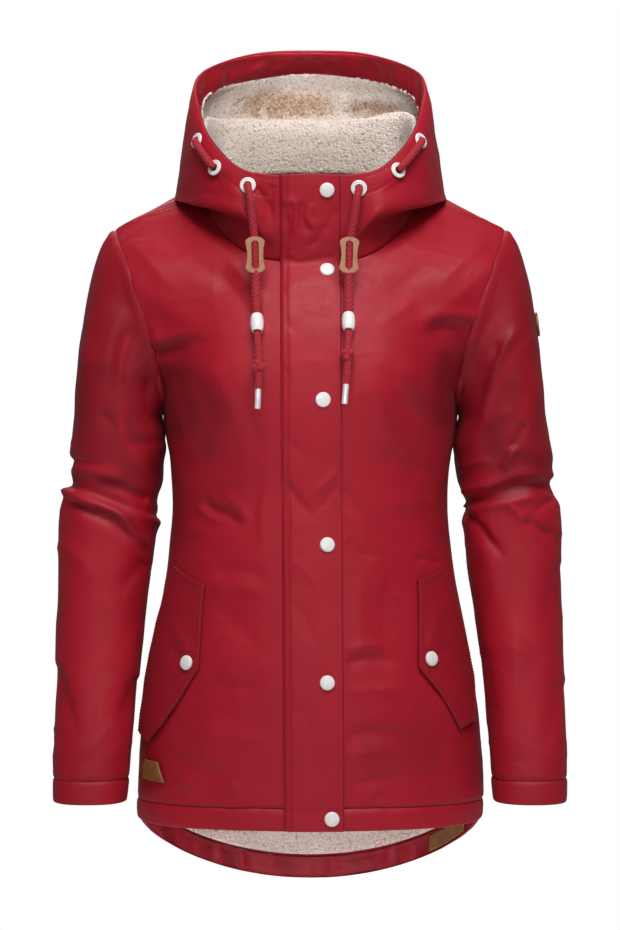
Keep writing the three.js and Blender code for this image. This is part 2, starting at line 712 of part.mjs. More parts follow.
// hanging cords, from the low eyelet down the chest: x, y, z
const HANG = {
  right: [
    [-64.2, -108, 12],
    [-62.5, -114.5, 2],
    [-60.5, -115, -18],
    [-57.5, -113.5, -46],
    [-56.5, -116.5, -80],
    [-55.2, -126.5, -115],
    [-54.2, -139, -145],
    [-52.6, -148.5, -183],
    [-53.2, -149, -202],
  ],
  left: [
    [50.6, -109, 9.5],
    [49.2, -114.5, 0],
    [46.5, -115, -20],
    [41.5, -113.5, -48],
    [40.4, -116.5, -80],
    [39.8, -126.5, -115],
    [39.6, -139, -145],
    [38.3, -148.5, -180],
    [37, -149, -197],
  ],
};
const along = (c, z) => {
  const u = bisect((s) => -c.getPointAt(s).z, -z, 0.02, 0.999);
  return { p: c.getPointAt(u).toArray(), d: c.getTangentAt(u).toArray() };
};
const BEAD = [
  [4.4, -9.3],
  [5.4, -9.3],
  [6.6, -5.5],
  [6.9, 0],
  [6.6, 5.5],
  [5.4, 9.3],
  [4.4, 9.3],
  [4.4, -9.3],
];
const KNOT = [
  [4.4, -6],
  [6, -7.2],
  [8, -4.5],
  [8.4, 0],
  [8, 4.5],
  [6, 7.2],
  [4.4, 6],
  [4.4, -6],
];
const TIP = [
  [0, -10.3],
  [2.6, -10.3],
  [3.1, -9.6],
  [3.1, 9.6],
  [2.6, 10.3],
  [0, 10.3],
];
// z of the stopper, bead, knot and tip on each side
const ON_CORD = {
  right: { stopper: -61, bead: -132, knot: -177.5, tip: -213 },
  left: { stopper: -61, bead: -131, knot: -165.5, tip: -208 },
};
for (const side of ["right", "left"]) {
  const c = cord("cord_" + side, HANG[side], 40),
    z = ON_CORD[side];
  for (const [what, profile] of [
    ["bead", BEAD],
    ["knot", KNOT],
  ]) {
    const { p, d } = along(c, z[what]);
    lathe(what + "_" + side, profile, set(p, mul(d, -1)));
  }
  const end = c.getPoint(1).toArray(),
    d = c.getTangent(1).toArray();
  lathe("tip_" + side, TIP, set(add(end, mul(d, 10.3 + 0.4)), mul(d, -1)), 14);
  // leather stopper: a waisted slotted tab in front of the cord
  const W = [10.7, 10.2, 8.8, 8.3, 8.8, 10.2, 10.7, 9.4, 6.2],
    outline = [];
  const H = 19.3;
  const edge = (f) => {
    // half width at height f -1..1
    const a = Math.abs(f);
    const r = a > 0.72 ? Math.sqrt(Math.max(0, 1 - ((a - 0.72) / 0.28) ** 2)) : 1;
    return (8.3 + 2.4 * Math.min(1, (a / 0.72) ** 2)) * (0.35 + 0.65 * r);
  };
  const N = 24;
  for (let i = 0; i <= N; i++)
    outline.push([edge(-1 + (2 * i) / N), H * (-1 + (2 * i) / N)]);
  for (let i = N; i >= 0; i--)
    outline.push([-edge(-1 + (2 * i) / N), H * (-1 + (2 * i) / N)]);
  const shape = new THREE.Shape(outline.map(([x, y]) => new THREE.Vector2(x, y)));
  const slot = [];
  for (let i = 0; i < 16; i++) {
    const a = (i / 16) * 2 * Math.PI;
    slot.push(
      new THREE.Vector2(3.6 * Math.cos(a), 3.6 * Math.sin(a) + (Math.sin(a) >= 0 ? 11.4 : -11.4)),
    );
  }
  shape.holes.push(new THREE.Path(slot));
  const g = new THREE.ExtrudeGeometry(shape, { depth: 2.2, bevelEnabled: false, curveSegments: 6 });
  // its plane holds the cord's direction; its face looks to the front
  const { p, d: dir } = along(c, z.stopper);
  const yAxis = V(...dir).multiplyScalar(-1).normalize(),
    zAxis = V(0, -1, 0).addScaledVector(yAxis, yAxis.y).normalize(),
    xAxis = new THREE.Vector3().crossVectors(yAxis, zAxis);
  g.applyMatrix4(new THREE.Matrix4().makeBasis(xAxis, yAxis, zAxis));
  g.translate(...add(p, zAxis.clone().multiplyScalar(CORD / 2 + 0.9).toArray()));
  solid("stopper_" + side, g);
  // bridge between the top and the mid eyelet
  const a = EYE[side + "_top"],
    b = EYE[side + "_mid"];
  const A = add(a.at, mul(a.no, 5.2)),
    B = add(b.at, mul(b.no, 5.2)),
    M = add(mul(add(A, B), 0.5), mul(unit(add(a.no, b.no)), 6.5));
  const towards = (p, q, f) => add(p, mul(sub(q, p), f));
  cord(
    "cord_bridge_" + side,
    [A, add(towards(A, B, 0.16), mul(a.no, 5)), M, add(towards(B, A, 0.16), mul(b.no, 5)), B],
    14,
  );
}

// round leather badge on the outside of the left sleeve
{
  const p = sleeve(-0.4, 0.49),
    e = 0.02;
  const n0 = unit(
    cross(
      sub(sleeve(-0.4, 0.49 + e), sleeve(-0.4, 0.49 - e)),
      sub(sleeve(-0.4 + e, 0.49), sleeve(-0.4 - e, 0.49)),
    ),
  );
  const n = n0[0] > 0 ? n0 : mul(n0, -1);
  lathe(
    "label_sleeve",
    [
      [0, 0],
      [13, 0],
      [13, 1.2],
      [12.5, 1.6],
      [0, 1.6],
    ],
    set(add(p, mul(n, 2.4)), n),
    28,
  );
}

export default group;
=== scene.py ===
"""Looks of a hooded raincoat, filled out with no wearer. X to the wearer's left, -Y to the front, +Z up.

Shapes are worked out in millimetres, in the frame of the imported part, and written in metres.
"""

import math

import bmesh
import bpy
import numpy as np
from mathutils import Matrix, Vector


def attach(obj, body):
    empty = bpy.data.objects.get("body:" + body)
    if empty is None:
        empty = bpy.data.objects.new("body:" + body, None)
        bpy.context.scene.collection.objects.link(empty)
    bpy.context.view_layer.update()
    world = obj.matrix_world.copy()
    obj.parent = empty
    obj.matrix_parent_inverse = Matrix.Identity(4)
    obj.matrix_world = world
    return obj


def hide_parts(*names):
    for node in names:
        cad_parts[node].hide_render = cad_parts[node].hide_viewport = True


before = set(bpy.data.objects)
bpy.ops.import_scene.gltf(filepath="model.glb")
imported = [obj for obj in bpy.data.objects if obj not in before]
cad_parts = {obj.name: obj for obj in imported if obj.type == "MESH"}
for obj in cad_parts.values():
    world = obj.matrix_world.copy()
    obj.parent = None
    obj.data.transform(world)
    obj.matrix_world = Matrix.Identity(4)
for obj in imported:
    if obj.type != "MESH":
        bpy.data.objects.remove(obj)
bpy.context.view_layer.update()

# ------------------------------------------------------------------ camera
DISTANCE = 3000.0  # from the plane of the side seams
EYE_Z = -278.6
SCALE = 1.08  # millimetres a pixel in the plane Y = 0
HALF_LONG = 465 * SCALE

cam = bpy.data.objects.new("camera", bpy.data.cameras.new("camera"))
bpy.context.scene.collection.objects.link(cam)
cam.data.sensor_fit = "AUTO"
cam.data.sensor_width = 36.0
cam.data.lens = 18.0 * DISTANCE / HALF_LONG
cam.location = (0, -DISTANCE / 1000, EYE_Z / 1000)
cam.rotation_euler = (math.pi / 2, 0, 0)
cam.data.clip_start, cam.data.clip_end = 0.05, 50
bpy.context.scene.camera = cam


def on_photo(p):
    """Photo position, in pixels, of points in millimetres."""
    k = SCALE * (DISTANCE + p[..., 1]) / DISTANCE
    return np.stack([310 + p[..., 0] / k, 465 - (p[..., 2] - EYE_Z) / k], -1)


# ------------------------------------------------------------------ the pattern: the same tables as the part's
def spline(table, k, lo=0, hi=None, mirror=None):
    """Catmull-Rom through the rows of a table at real row numbers k, held between rows lo and hi."""
    t = np.asarray(table, float)
    hi = len(t) - 1 if hi is None else hi
    k = np.clip(np.asarray(k, float), lo, hi)
    i = np.minimum(np.floor(k).astype(int), hi - 1)
    f = (k - i)[..., None]
    under, over = 2 * t[lo] - t[lo + 1], 2 * t[hi] - t[hi - 1]
    if mirror is not None:
        under, over = t[lo + 1] * mirror, t[hi - 1] * mirror

    def g(j):
        out = t[np.clip(j, lo, hi)]
        out = np.where((j < lo)[..., None], under, out)
        return np.where((j > hi)[..., None], over, out)

    a, b, c, d = g(i - 1), g(i), g(i + 1), g(i + 2)
    return b + 0.5 * f * (
        c - a + f * (2 * a - 5 * b + 4 * c - d + f * (3 * (b - c) + d - a))
    )


# centre x, y, z | handle, its dy, dz | side x, y, z | handle, angle, dz
FRONT = np.array(
    [
        [0, -131, -634, 112, 0, 0, 187, 5, -636, 84, 90, 0],
        [0, -133, -560, 110, 0, 0, 183, 5, -560, 84, 90, 0],
        [0, -127, -480, 102, 0, 0, 171.5, 5, -480, 80, 90, 0],
        [0, -116, -400, 92, 0, 0, 156.5, 5, -400, 74, 90, 0],
        [0, -111, -330, 88, 0, 0, 148.7, 5, -330, 70, 90, 0],
        [0, -121, -277, 94, 0, 0, 150.7, 5, -277, 76, 90, 0],
        [0, -134, -225, 100, 0, 0, 159, 5, -219, 84, 90, 0],
        [0, -137, -180, 104, 0, 0, 156, -36, -201, 72, 72, -0.2],
        [0, -124, -125, 100, 0, 0, 160, -55, -175, 60, 50, -0.3],
        [0, -92, -66, 90, 0, 0, 170, -65, -143, 55, 35, -0.4],
        [67, -80, -56, 45, -0.1, -0.35, 183, -66, -102, 45, 25, -0.4],
        [90, -58, -38, 35, -0.2, -0.4, 195, -52, -67, 40, 20, -0.4],
        [106, -32, -18, 33, -0.15, -0.42, 204.5, -28, -44, 35, 12, -0.4],
        [113, 5, 13, 33, 0, -0.43, 210.5, -2, -29, 35, 5, -0.4],
    ],
    float,
)
BACK = np.array(
    [
        [0, 135, -720, 112, 0, 0, 187, 5, -636, 84, -90, 0.357],
        [0, 134, -612, 112, 0, 0, 183, 5, -560, 84, -90, 0.2],
        [0, 124, -510, 104, 0, 0, 171.5, 5, -480, 78, -90, 0.1],
        [0, 104, -415, 94, 0, 0, 156.5, 5, -400, 66, -90, 0],
        [0, 84, -335, 90, 0, 0, 148.7, 5, -330, 54, -90, 0],
        [0, 84, -277, 92, 0, 0, 150.7, 5, -277, 54, -90, 0],
        [0, 94, -220, 96, 0, 0, 159, 5, -219, 60, -90, 0],
        [0, 105, -150, 100, 0, 0, 163, 38, -200, 60, -75, -0.2],
        [0, 106, -80, 100, 0, 0, 171, 57, -168, 55, -55, -0.3],
        [0, 98, -15, 85, 0, 0, 180, 65, -130, 50, -40, -0.4],
        [0, 78, 39, 50, 0.1, -0.05, 190, 61, -92, 48, -30, -0.5],
        [55, 69, 37, 45, 0.1, -0.05, 200, 44, -60, 45, -20, -0.6],
        [97, 40, 28, 40, 0, 0, 207, 20, -38, 40, -8, -0.6],
        [113, 5, 13, 33, 0, -0.43, 210.5, -2, -29, 35, 5, -0.4],
    ],
    float,
)
# Hood, a row a level from the neckline to the rim, at nine stations from centre front to centre back
HOOD = np.array(
    [
        [[0, -92, -66], [42, -88, -64], [67, -80, -56], [90, -58, -38], [106, -32, -18], [113, 5, 13], [97, 40, 28], [55, 69, 37], [0, 78, 39]],
        [[0, -96, -52], [42, -93, -50], [68, -84, -30], [88, -60, -15], [103, -33, 0], [119, 4, 25], [105, 44, 39], [58, 77, 45], [0, 87, 47]],
        [[0, -100, -38], [44, -99, -36], [71, -104, -19], [103, -80, -10], [126, -46, -3], [144.5, -2, 7], [136, 62, 14], [66, 113, 2], [0, 121, -2]],
        [[0, -102, -15], [45, -101, -13], [76, -103, -4], [107, -78, 4], [129, -45, 10], [143.5, 2, 17], [138, 70, 24], [69, 132, 18], [0, 142, 15]],
        [[0, -104, 5], [45, -103, 6], [78, -98, 15], [109, -73, 33], [129, -40, 52], [138, 4, 58], [133, 78, 72], [68, 146, 75], [0, 158, 75]],
        [[0, -105, 16], [45, -104, 16], [78.5, -95, 26], [109, -68, 52], [126, -35, 82], [132, 6, 104], [124, 66, 130], [64, 116, 148], [0, 128, 152]],
        [[0, -105, 25], [46, -104, 25], [78.5, -92, 35.5], [106, -64, 66], [119.5, -34, 101], [125, 8, 136], [109, 36, 157], [60, 70, 176], [0, 80, 180]],
    ],
    float,
)
# Pile lining at the same stations: neck, stand, ridge of the collar roll, valley behind it, inner wall, crown, edge at the facing
LINING = np.array(
    [
        [[0, -84, -60], [38, -81, -58], [61, -73, -50], [82, -53, -31], [98, -28, -10], [105, 5, 19], [90, 34, 33], [51, 62, 42], [0, 70, 44]],
        [[0, -90, -35], [40, -88, -33], [63, -79, -20], [86, -56, 5], [100, -28, 30], [107, 8, 60], [93, 42, 68], [52, 66, 74], [0, 72, 76]],
        [[0, -94, -15], [41, -92, -13], [67, -83, -2], [92, -60, 25], [107, -26, 60], [111, 12, 95], [94, 50, 101], [54, 74, 104], [0, 80, 104.5]],
        [[0, -95.5, -9], [42, -93.5, -8], [69, -84, 2], [95, -61, 31], [109.5, -26, 67], [117, 18, 92], [108, 62, 86], [58, 104, 80], [0, 112, 78]],
        [[0, -96.5, -5], [43, -94.5, -4], [71, -85, 5], [97, -61, 35], [111, -27, 71], [120, 20, 99], [117, 66, 104], [61, 134, 100], [0, 145, 98]],
        [[0, -97.5, -1], [43.5, -95.5, -1], [72.5, -86, 8], [99, -61, 39], [112.5, -28, 75], [118.5, 15, 106], [109, 58, 124], [58, 116, 134], [0, 128, 138]],
        [[0, -98.5, 3], [44, -96.5, 3], [73.5, -87, 11], [100, -61, 43], [113, -28, 79], [115.5, 10, 109], [98, 50, 134], [55, 91, 151], [0, 102, 158]],
    ],
    float,
)
# Sleeve rings: z, x, y of the centre, half width, half depth, tilt in degrees (outer side lower)
RINGS = np.array(
    [
        [-238, 211.5, 5, 49.5, 68, 8],
        [-262, 210.3, 8, 55, 66, 7],
        [-280, 208.8, 10, 52.8, 63, 6],
        [-292, 209.5, 12, 51.8, 60, 5],
        [-304, 213.6, 13, 54, 58, 4],
        [-318, 217.3, 14, 53.8, 58, 3],
        [-343, 218.6, 14, 54.4, 58, 2],
        [-369, 220.5, 12, 52.4, 57, 2],
        [-420, 224, 5, 48.7, 55, 1],
        [-472, 227, -5, 46.3, 52, 0],
        [-522, 229.8, -17, 44, 49, 0],
        [-573, 232.1, -29, 41.9, 46.5, 0],
        [-611, 233.6, -36, 40.6, 45, 0],
        [-636, 234.5, -40, 39.2, 44, 0],
    ],
    float,
)
MIRROR = np.array([-1, 1, 1.0])


def bezier(a, b, c, d, t):
    t = np.asarray(t, float)[..., None]
    return (
        a * (1 - t) ** 3
        + 3 * b * t * (1 - t) ** 2
        + 3 * c * t * t * (1 - t)
        + d * t**3
    )


def levels(table, s, l):
    """A point of the hood or its lining at station s and level l."""
    s, l = np.broadcast_arrays(np.asarray(s, float), np.asarray(l, float))
    rows = np.stack([spline(level, s, mirror=MIRROR) for level in table], 0)
    n = len(table) - 1
    l = np.clip(l, 0, n)
    i = np.minimum(np.floor(l).astype(int), n - 1)
    f = (l - i)[..., None]

    def at(j):
        out = np.take_along_axis(
            rows, np.clip(j, 0, n)[None, ..., None].repeat(3, -1), 0
        )[0]
        out = np.where((j < 0)[..., None], 2 * rows[0] - rows[1], out)
        return np.where((j > n)[..., None], 2 * rows[n] - rows[n - 1], out)

    a, b, c, d = at(i - 1), at(i), at(i + 1), at(i + 2)
    return b + 0.5 * f * (
        c - a + f * (2 * a - 5 * b + 4 * c - d + f * (3 * (b - c) + d - a))
    )


def hood(s, l):
    return levels(HOOD, s, l)


def body(k, t, front):
    """A point of the body: row k, t from the centre to the side."""
    k, t = np.broadcast_arrays(np.asarray(k, float), np.asarray(t, float))
    table, neck = (FRONT, 9) if front else (BACK, 10)
    station = (
        np.interp(k, [9, 10, 11, 12, 13], [0, 2, 3, 4, 5])
        if front
        else np.clip(18 - k, 5, 8)
    )
    inner = np.where(
        (k <= neck)[..., None],
        spline(table[:, :3], k, 0, neck),
        spline(HOOD[0], station, mirror=MIRROR),
    )
    outer = np.where(
        (k <= 6)[..., None],
        spline(table[:, 6:9], k, 0, 6),
        spline(table[:, 6:9], k, 6, 13),
    )
    q = spline(table, k)
    h0, h1, a = q[..., 3], q[..., 9], np.radians(q[..., 10])
    c0 = inner + np.stack([h0, h0 * q[..., 4], h0 * q[..., 5]], -1)
    c1 = outer - np.stack([h1 * np.cos(a), h1 * np.sin(a), h1 * q[..., 11]], -1)
    p = bezier(inner, c0, c1, outer, t)
    if front:
        b = (
            8
            * np.exp(-(((p[..., 0] - 80) / 42) ** 2) - ((p[..., 2] + 195) / 48) ** 2)
            * np.sin(np.pi * np.clip(t, 0, 1)) ** 0.5
        )
        p = p - np.stack([0 * b, b, 0 * b], -1)
    return p


def ring(r, a):
    z, x, y, hw, hd, tilt = np.moveaxis(spline(RINGS, r), -1, 0)
    th, ti = 2 * np.pi * np.asarray(a, float), np.radians(tilt)
    sq = 1 + 0.06 * np.sin(2 * th) ** 2
    u = -hw * np.cos(th) * sq
    return np.stack(
        [x + u * np.cos(ti), y - hd * np.sin(th) * sq, z - u * np.sin(ti)], -1
    )


def sleeve(r, a):
    """The sleeve: a runs round from the armpit through the front; r -1..0 is the cap, 0..13 the rings."""
    r, a = np.broadcast_arrays(np.asarray(r, float), np.asarray(a, float))
    a = a % 1.0
    f = (a <= 0.5)[..., None]
    k = np.where(a <= 0.5, 6 + 14 * a, 20 - 14 * a)
    p = np.where(f, spline(FRONT[:, 6:9], k, 6, 13), spline(BACK[:, 6:9], k, 6, 13))
    q = np.where(f, spline(FRONT, k), spline(BACK, k))
    an = np.radians(q[..., 10])
    w = (np.sin(np.pi * a) ** 2)[..., None]
    p = p + np.array([2.0, 0, 0]) * (1 - w) ** 6
    out = w * np.stack([np.cos(an), np.sin(an), q[..., 11]], -1) + (
        1 - w
    ) * np.array([0.5, 0, -1.0])
    out = out / np.linalg.norm(out, axis=-1, keepdims=True)
    e, e1 = ring(0 * r, a), ring(0 * r + 0.35, a)
    up = (e - e1) / np.linalg.norm(e - e1, axis=-1, keepdims=True)
    length = np.linalg.norm(e - p, axis=-1, keepdims=True)
    cap = bezier(
        p,
        p + out * length * (0.33 - 0.165 * w),
        e + up * length * (0.33 + 0.17 * w),
        e,
        np.clip(r + 1, 0, 1),
    )
    return np.where((r < 0)[..., None], cap, ring(np.clip(r, 0, 13), a))


# ------------------------------------------------------------------ noise, all of it seeded
def hashed(ix, iy, iz, seed):
    with np.errstate(over="ignore"):
        n = (
            ix.astype(np.uint32) * np.uint32(374761393)
            + iy.astype(np.uint32) * np.uint32(668265263)
            + iz.astype(np.uint32) * np.uint32(2246822519)
            + np.uint32(seed * 3266489917 % 4294967296)
        )
        n = (n ^ (n >> np.uint32(13))) * np.uint32(1274126177)
        n = n ^ (n >> np.uint32(16))
    return (n & np.uint32(65535)).astype(float) / 65535.0


def noise(p, size, seed=0):
    """Smooth noise, -1..1, with features of about that many millimetres."""
    q = np.asarray(p, float) / size
    i = np.floor(q).astype(np.int64)
    f = q - i
    f = f * f * f * (f * (f * 6 - 15) + 10)
    total = 0
    for dx in (0, 1):
        for dy in (0, 1):
            for dz in (0, 1):
                w = (
                    (f[..., 0] if dx else 1 - f[..., 0])
                    * (f[..., 1] if dy else 1 - f[..., 1])
                    * (f[..., 2] if dz else 1 - f[..., 2])
                )
                total = total + w * hashed(
                    i[..., 0] + dx, i[..., 1] + dy, i[..., 2] + dz, seed
                )
    return 2 * total - 1


def cells(p, size, seed=0):
    """Distance to the nearest and second nearest of scattered points, in units of size."""
    q = np.asarray(p, float) / size
    i = np.floor(q).astype(np.int64)
    near = np.full(q.shape[:-1], 9.0)
    second = np.full(q.shape[:-1], 9.0)
    for dx in (-1, 0, 1):
        for dy in (-1, 0, 1):
            for dz in (-1, 0, 1):
                c = i + np.array([dx, dy, dz])
                at = c + np.stack(
                    [hashed(c[..., 0], c[..., 1], c[..., 2], seed + n) for n in range(3)],
                    -1,
                )
                d = np.linalg.norm(q - at, axis=-1)
                second = np.minimum(second, np.maximum(near, d))
                near = np.minimum(near, d)
    return near, second


def wave(x, size, seed=0):
    x = np.asarray(x, float)
    return noise(np.stack([x, 0 * x + 0.37 * size, 0 * x + 0.61 * size], -1), size, seed)


def smooth(x, a=0.0, b=1.0):
    t = np.clip((x - a) / (b - a), 0, 1)
    return t * t * (3 - 2 * t)


# ------------------------------------------------------------------ folds, as short named lines on the photograph
def stroke(px, points, amp, width, step=0.0, ends=(0.3, 0.3)):
    """Height of a fold along a line of photo points: amp is its ridge (or trough, if negative) and width its half
    width in pixels; step adds an s-shaped side, high on the line's left. It fades over these shares of its ends."""
    q = spline(np.array(points, float), np.linspace(0, len(points) - 1, 6 * (len(points) - 1) + 1))
    seg = np.linalg.norm(np.diff(q, axis=0), axis=1)
    along = np.concatenate([[0], np.cumsum(seg)])
    best = np.full(px.shape[:-1], 1e9)
    u = np.zeros(px.shape[:-1])
    side = np.zeros(px.shape[:-1])
    lo, hi = q.min(0) - 5 * width, q.max(0) + 5 * width
    inside = ((px > lo) & (px < hi)).all(-1)
    if not inside.any():
        return np.zeros(px.shape[:-1])
    p = px[inside]
    b, uu, sd = best[inside], u[inside], side[inside]
    for i in range(len(q) - 1):
        d = q[i + 1] - q[i]
        f = np.clip(((p - q[i]) @ d) / (d @ d + 1e-9), 0, 1)
        r = p - (q[i] + f[..., None] * d)
        dist = np.linalg.norm(r, axis=-1)
        m = dist < b
        b = np.where(m, dist, b)
        uu = np.where(m, (along[i] + f * seg[i]) / along[-1], uu)
        sd = np.where(m, np.sign(d[0] * r[..., 1] - d[1] * r[..., 0]), sd)
    g = np.exp(-0.72 * (np.sqrt(b**2 + 0.5) / width) ** 1.5)
    h = amp * g + step * 1.65 * (-sd * b / width) * g
    h = h * smooth(uu, 0, max(ends[0], 1e-6)) * smooth(1 - uu, 0, max(ends[1], 1e-6))
    out = np.zeros(px.shape[:-1])
    out[inside] = h
    return out


# ------------------------------------------------------------------ sheets of cloth
def normals(p, wrap=False):
    du = np.gradient(p, axis=0)
    if wrap:
        dv = (np.roll(p, -1, 1) - np.roll(p, 1, 1)) / 2
    else:
        dv = np.gradient(p, axis=1)
    n = np.cross(dv, du)
    return n / np.maximum(np.linalg.norm(n, axis=-1, keepdims=True), 1e-9)


FINE = [0, 0.3, 0.7, 1.2, 1.9, 2.9]


def marks(length, step, ends=(True, True), ratio=3, wrap=False):
    """Shares 0..1 of a length: fine at its ends, even between, in a count that the coarse inner side can share."""
    if wrap:
        n = int(math.ceil(length / step / ratio)) * ratio
        return np.arange(n) / n
    a = FINE if ends[0] else [0]
    b = FINE if ends[1] else [0]
    middle = length - a[-1] - b[-1]
    n = max(2, int(math.ceil(middle / step)))
    total = len(a) + len(b) + n - 2
    while total % ratio:
        n += 1
        total += 1
    mid = np.linspace(a[-1], length - b[-1], n + 1)
    out = np.concatenate([a[:-1], mid, length - np.array(b[::-1])[1:]])
    return out / length


def spread(f, lo, hi, shares, other):
    """Parameters between lo and hi that lie at these shares of the arc length of f, taken where the other one is."""
    t = np.linspace(lo, hi, 400)
    p = f(t, other)
    s = np.concatenate([[0], np.cumsum(np.linalg.norm(np.diff(p, axis=0), axis=1))])
    return np.interp(np.asarray(shares) * s[-1], s, t), s[-1]


def length_of(f, lo, hi, other):
    return spread(f, lo, hi, [0], other)[1]


def arcs(p, wrap=False):
    """Distances in millimetres to the left, right, bottom and top edges of a grid."""
    r = np.linalg.norm(np.diff(p, axis=1), axis=-1)
    r = np.concatenate([np.zeros((p.shape[0], 1)), np.cumsum(r, 1)], 1)
    c = np.linalg.norm(np.diff(p, axis=0), axis=-1)
    c = np.concatenate([np.zeros((1, p.shape[1])), np.cumsum(c, 0)], 0)
    big = np.full(p.shape[:2], 1e6)
    return {
        "left": big if wrap else r,
        "right": big if wrap else r[:, -1:] - r,
        "bottom": c,
        "top": c[-1:] - c,
        "across": r,
        "up": c,
    }


def link(name, verts, faces, material, nodes=(), sharp=None):
    me = bpy.data.meshes.new(name)
    me.from_pydata((np.asarray(verts) * 0.001).tolist(), [], faces)
    me.validate()
    me.update()
    me.polygons.foreach_set("use_smooth", [True] * len(me.polygons))
    if sharp is not None:
        me.set_sharp_from_angle(angle=math.radians(sharp))
    o = bpy.data.objects.new(name, me)
    bpy.context.scene.collection.objects.link(o)
    me.materials.append(material)
    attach(o, "root")
    if nodes:
        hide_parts(*nodes)
    return o


def solid(name, top, low, material, nodes=(), wrap=False, ratio=3):
    """A closed piece of a fine outer grid and a coarse inner one; the walls between them are many-sided."""
    n, m = top.shape[:2]
    rows = np.arange(0, n, ratio)
    cols = np.arange(0, m, ratio)
    inner = low[rows][:, cols]
    a, b = inner.shape[:2]
    verts = np.concatenate([top.reshape(-1, 3), inner.reshape(-1, 3)])
    T = lambda i, j: i * m + (j % m)
    B = lambda i, j: n * m + i * b + (j % b)
    faces = []
    for i in range(n - 1):
        for j in range(m if wrap else m - 1):
            faces.append((T(i, j), T(i, j + 1), T(i + 1, j + 1), T(i + 1, j)))
    for i in range(a - 1):
        for j in range(b if wrap else b - 1):
            faces.append((B(i, j), B(i + 1, j), B(i + 1, j + 1), B(i, j + 1)))
    for j in range(b if wrap else b - 1):
        fine = [T(0, j * ratio + q) for q in range(ratio + 1)]
        faces.append(tuple(fine[::-1] + [B(0, j), B(0, j + 1)]))
        fine = [T(n - 1, j * ratio + q) for q in range(ratio + 1)]
        faces.append(tuple(fine + [B(a - 1, j + 1), B(a - 1, j)]))
    if not wrap:
        for i in range(a - 1):
            fine = [T(i * ratio + q, 0) for q in range(ratio + 1)]
            faces.append(tuple(fine + [B(i + 1, 0), B(i, 0)]))
            fine = [T(i * ratio + q, m - 1) for q in range(ratio + 1)]
            faces.append(tuple(fine[::-1] + [B(i, b - 1), B(i + 1, b - 1)]))
    return link(name, verts, faces, material, nodes)


def paint(o, count, **fields):
    """Writes point values of the fine grid as attributes; the inner side keeps 0.4."""
    for name, values in fields.items():
        a = o.data.attributes.new(name, "FLOAT", "POINT")
        full = np.full(len(o.data.vertices), 0.4, np.float32)
        full[:count] = values.ravel()
        a.data.foreach_set("value", full)


STITCHES = []  # (start, end, out) of every stitch


def sew(line, out, pitch=3.4, share=0.68, lift=0.12):
    """Stitches along a line of points, on a surface whose normals are out."""
    seg = np.linalg.norm(np.diff(line, axis=0), axis=1)
    s = np.concatenate([[0], np.cumsum(seg)])
    n = int(s[-1] / pitch)
    for i in range(n):
        at = [(i + 0.15) * pitch, (i + 0.15 + share) * pitch]
        p = np.stack([np.interp(at, s, line[:, c]) for c in range(3)], -1)
        o = np.array([np.interp(at[0], s, out[:, c]) for c in range(3)])
        STITCHES.append((p[0] + o * lift, p[1] + o * lift, o))


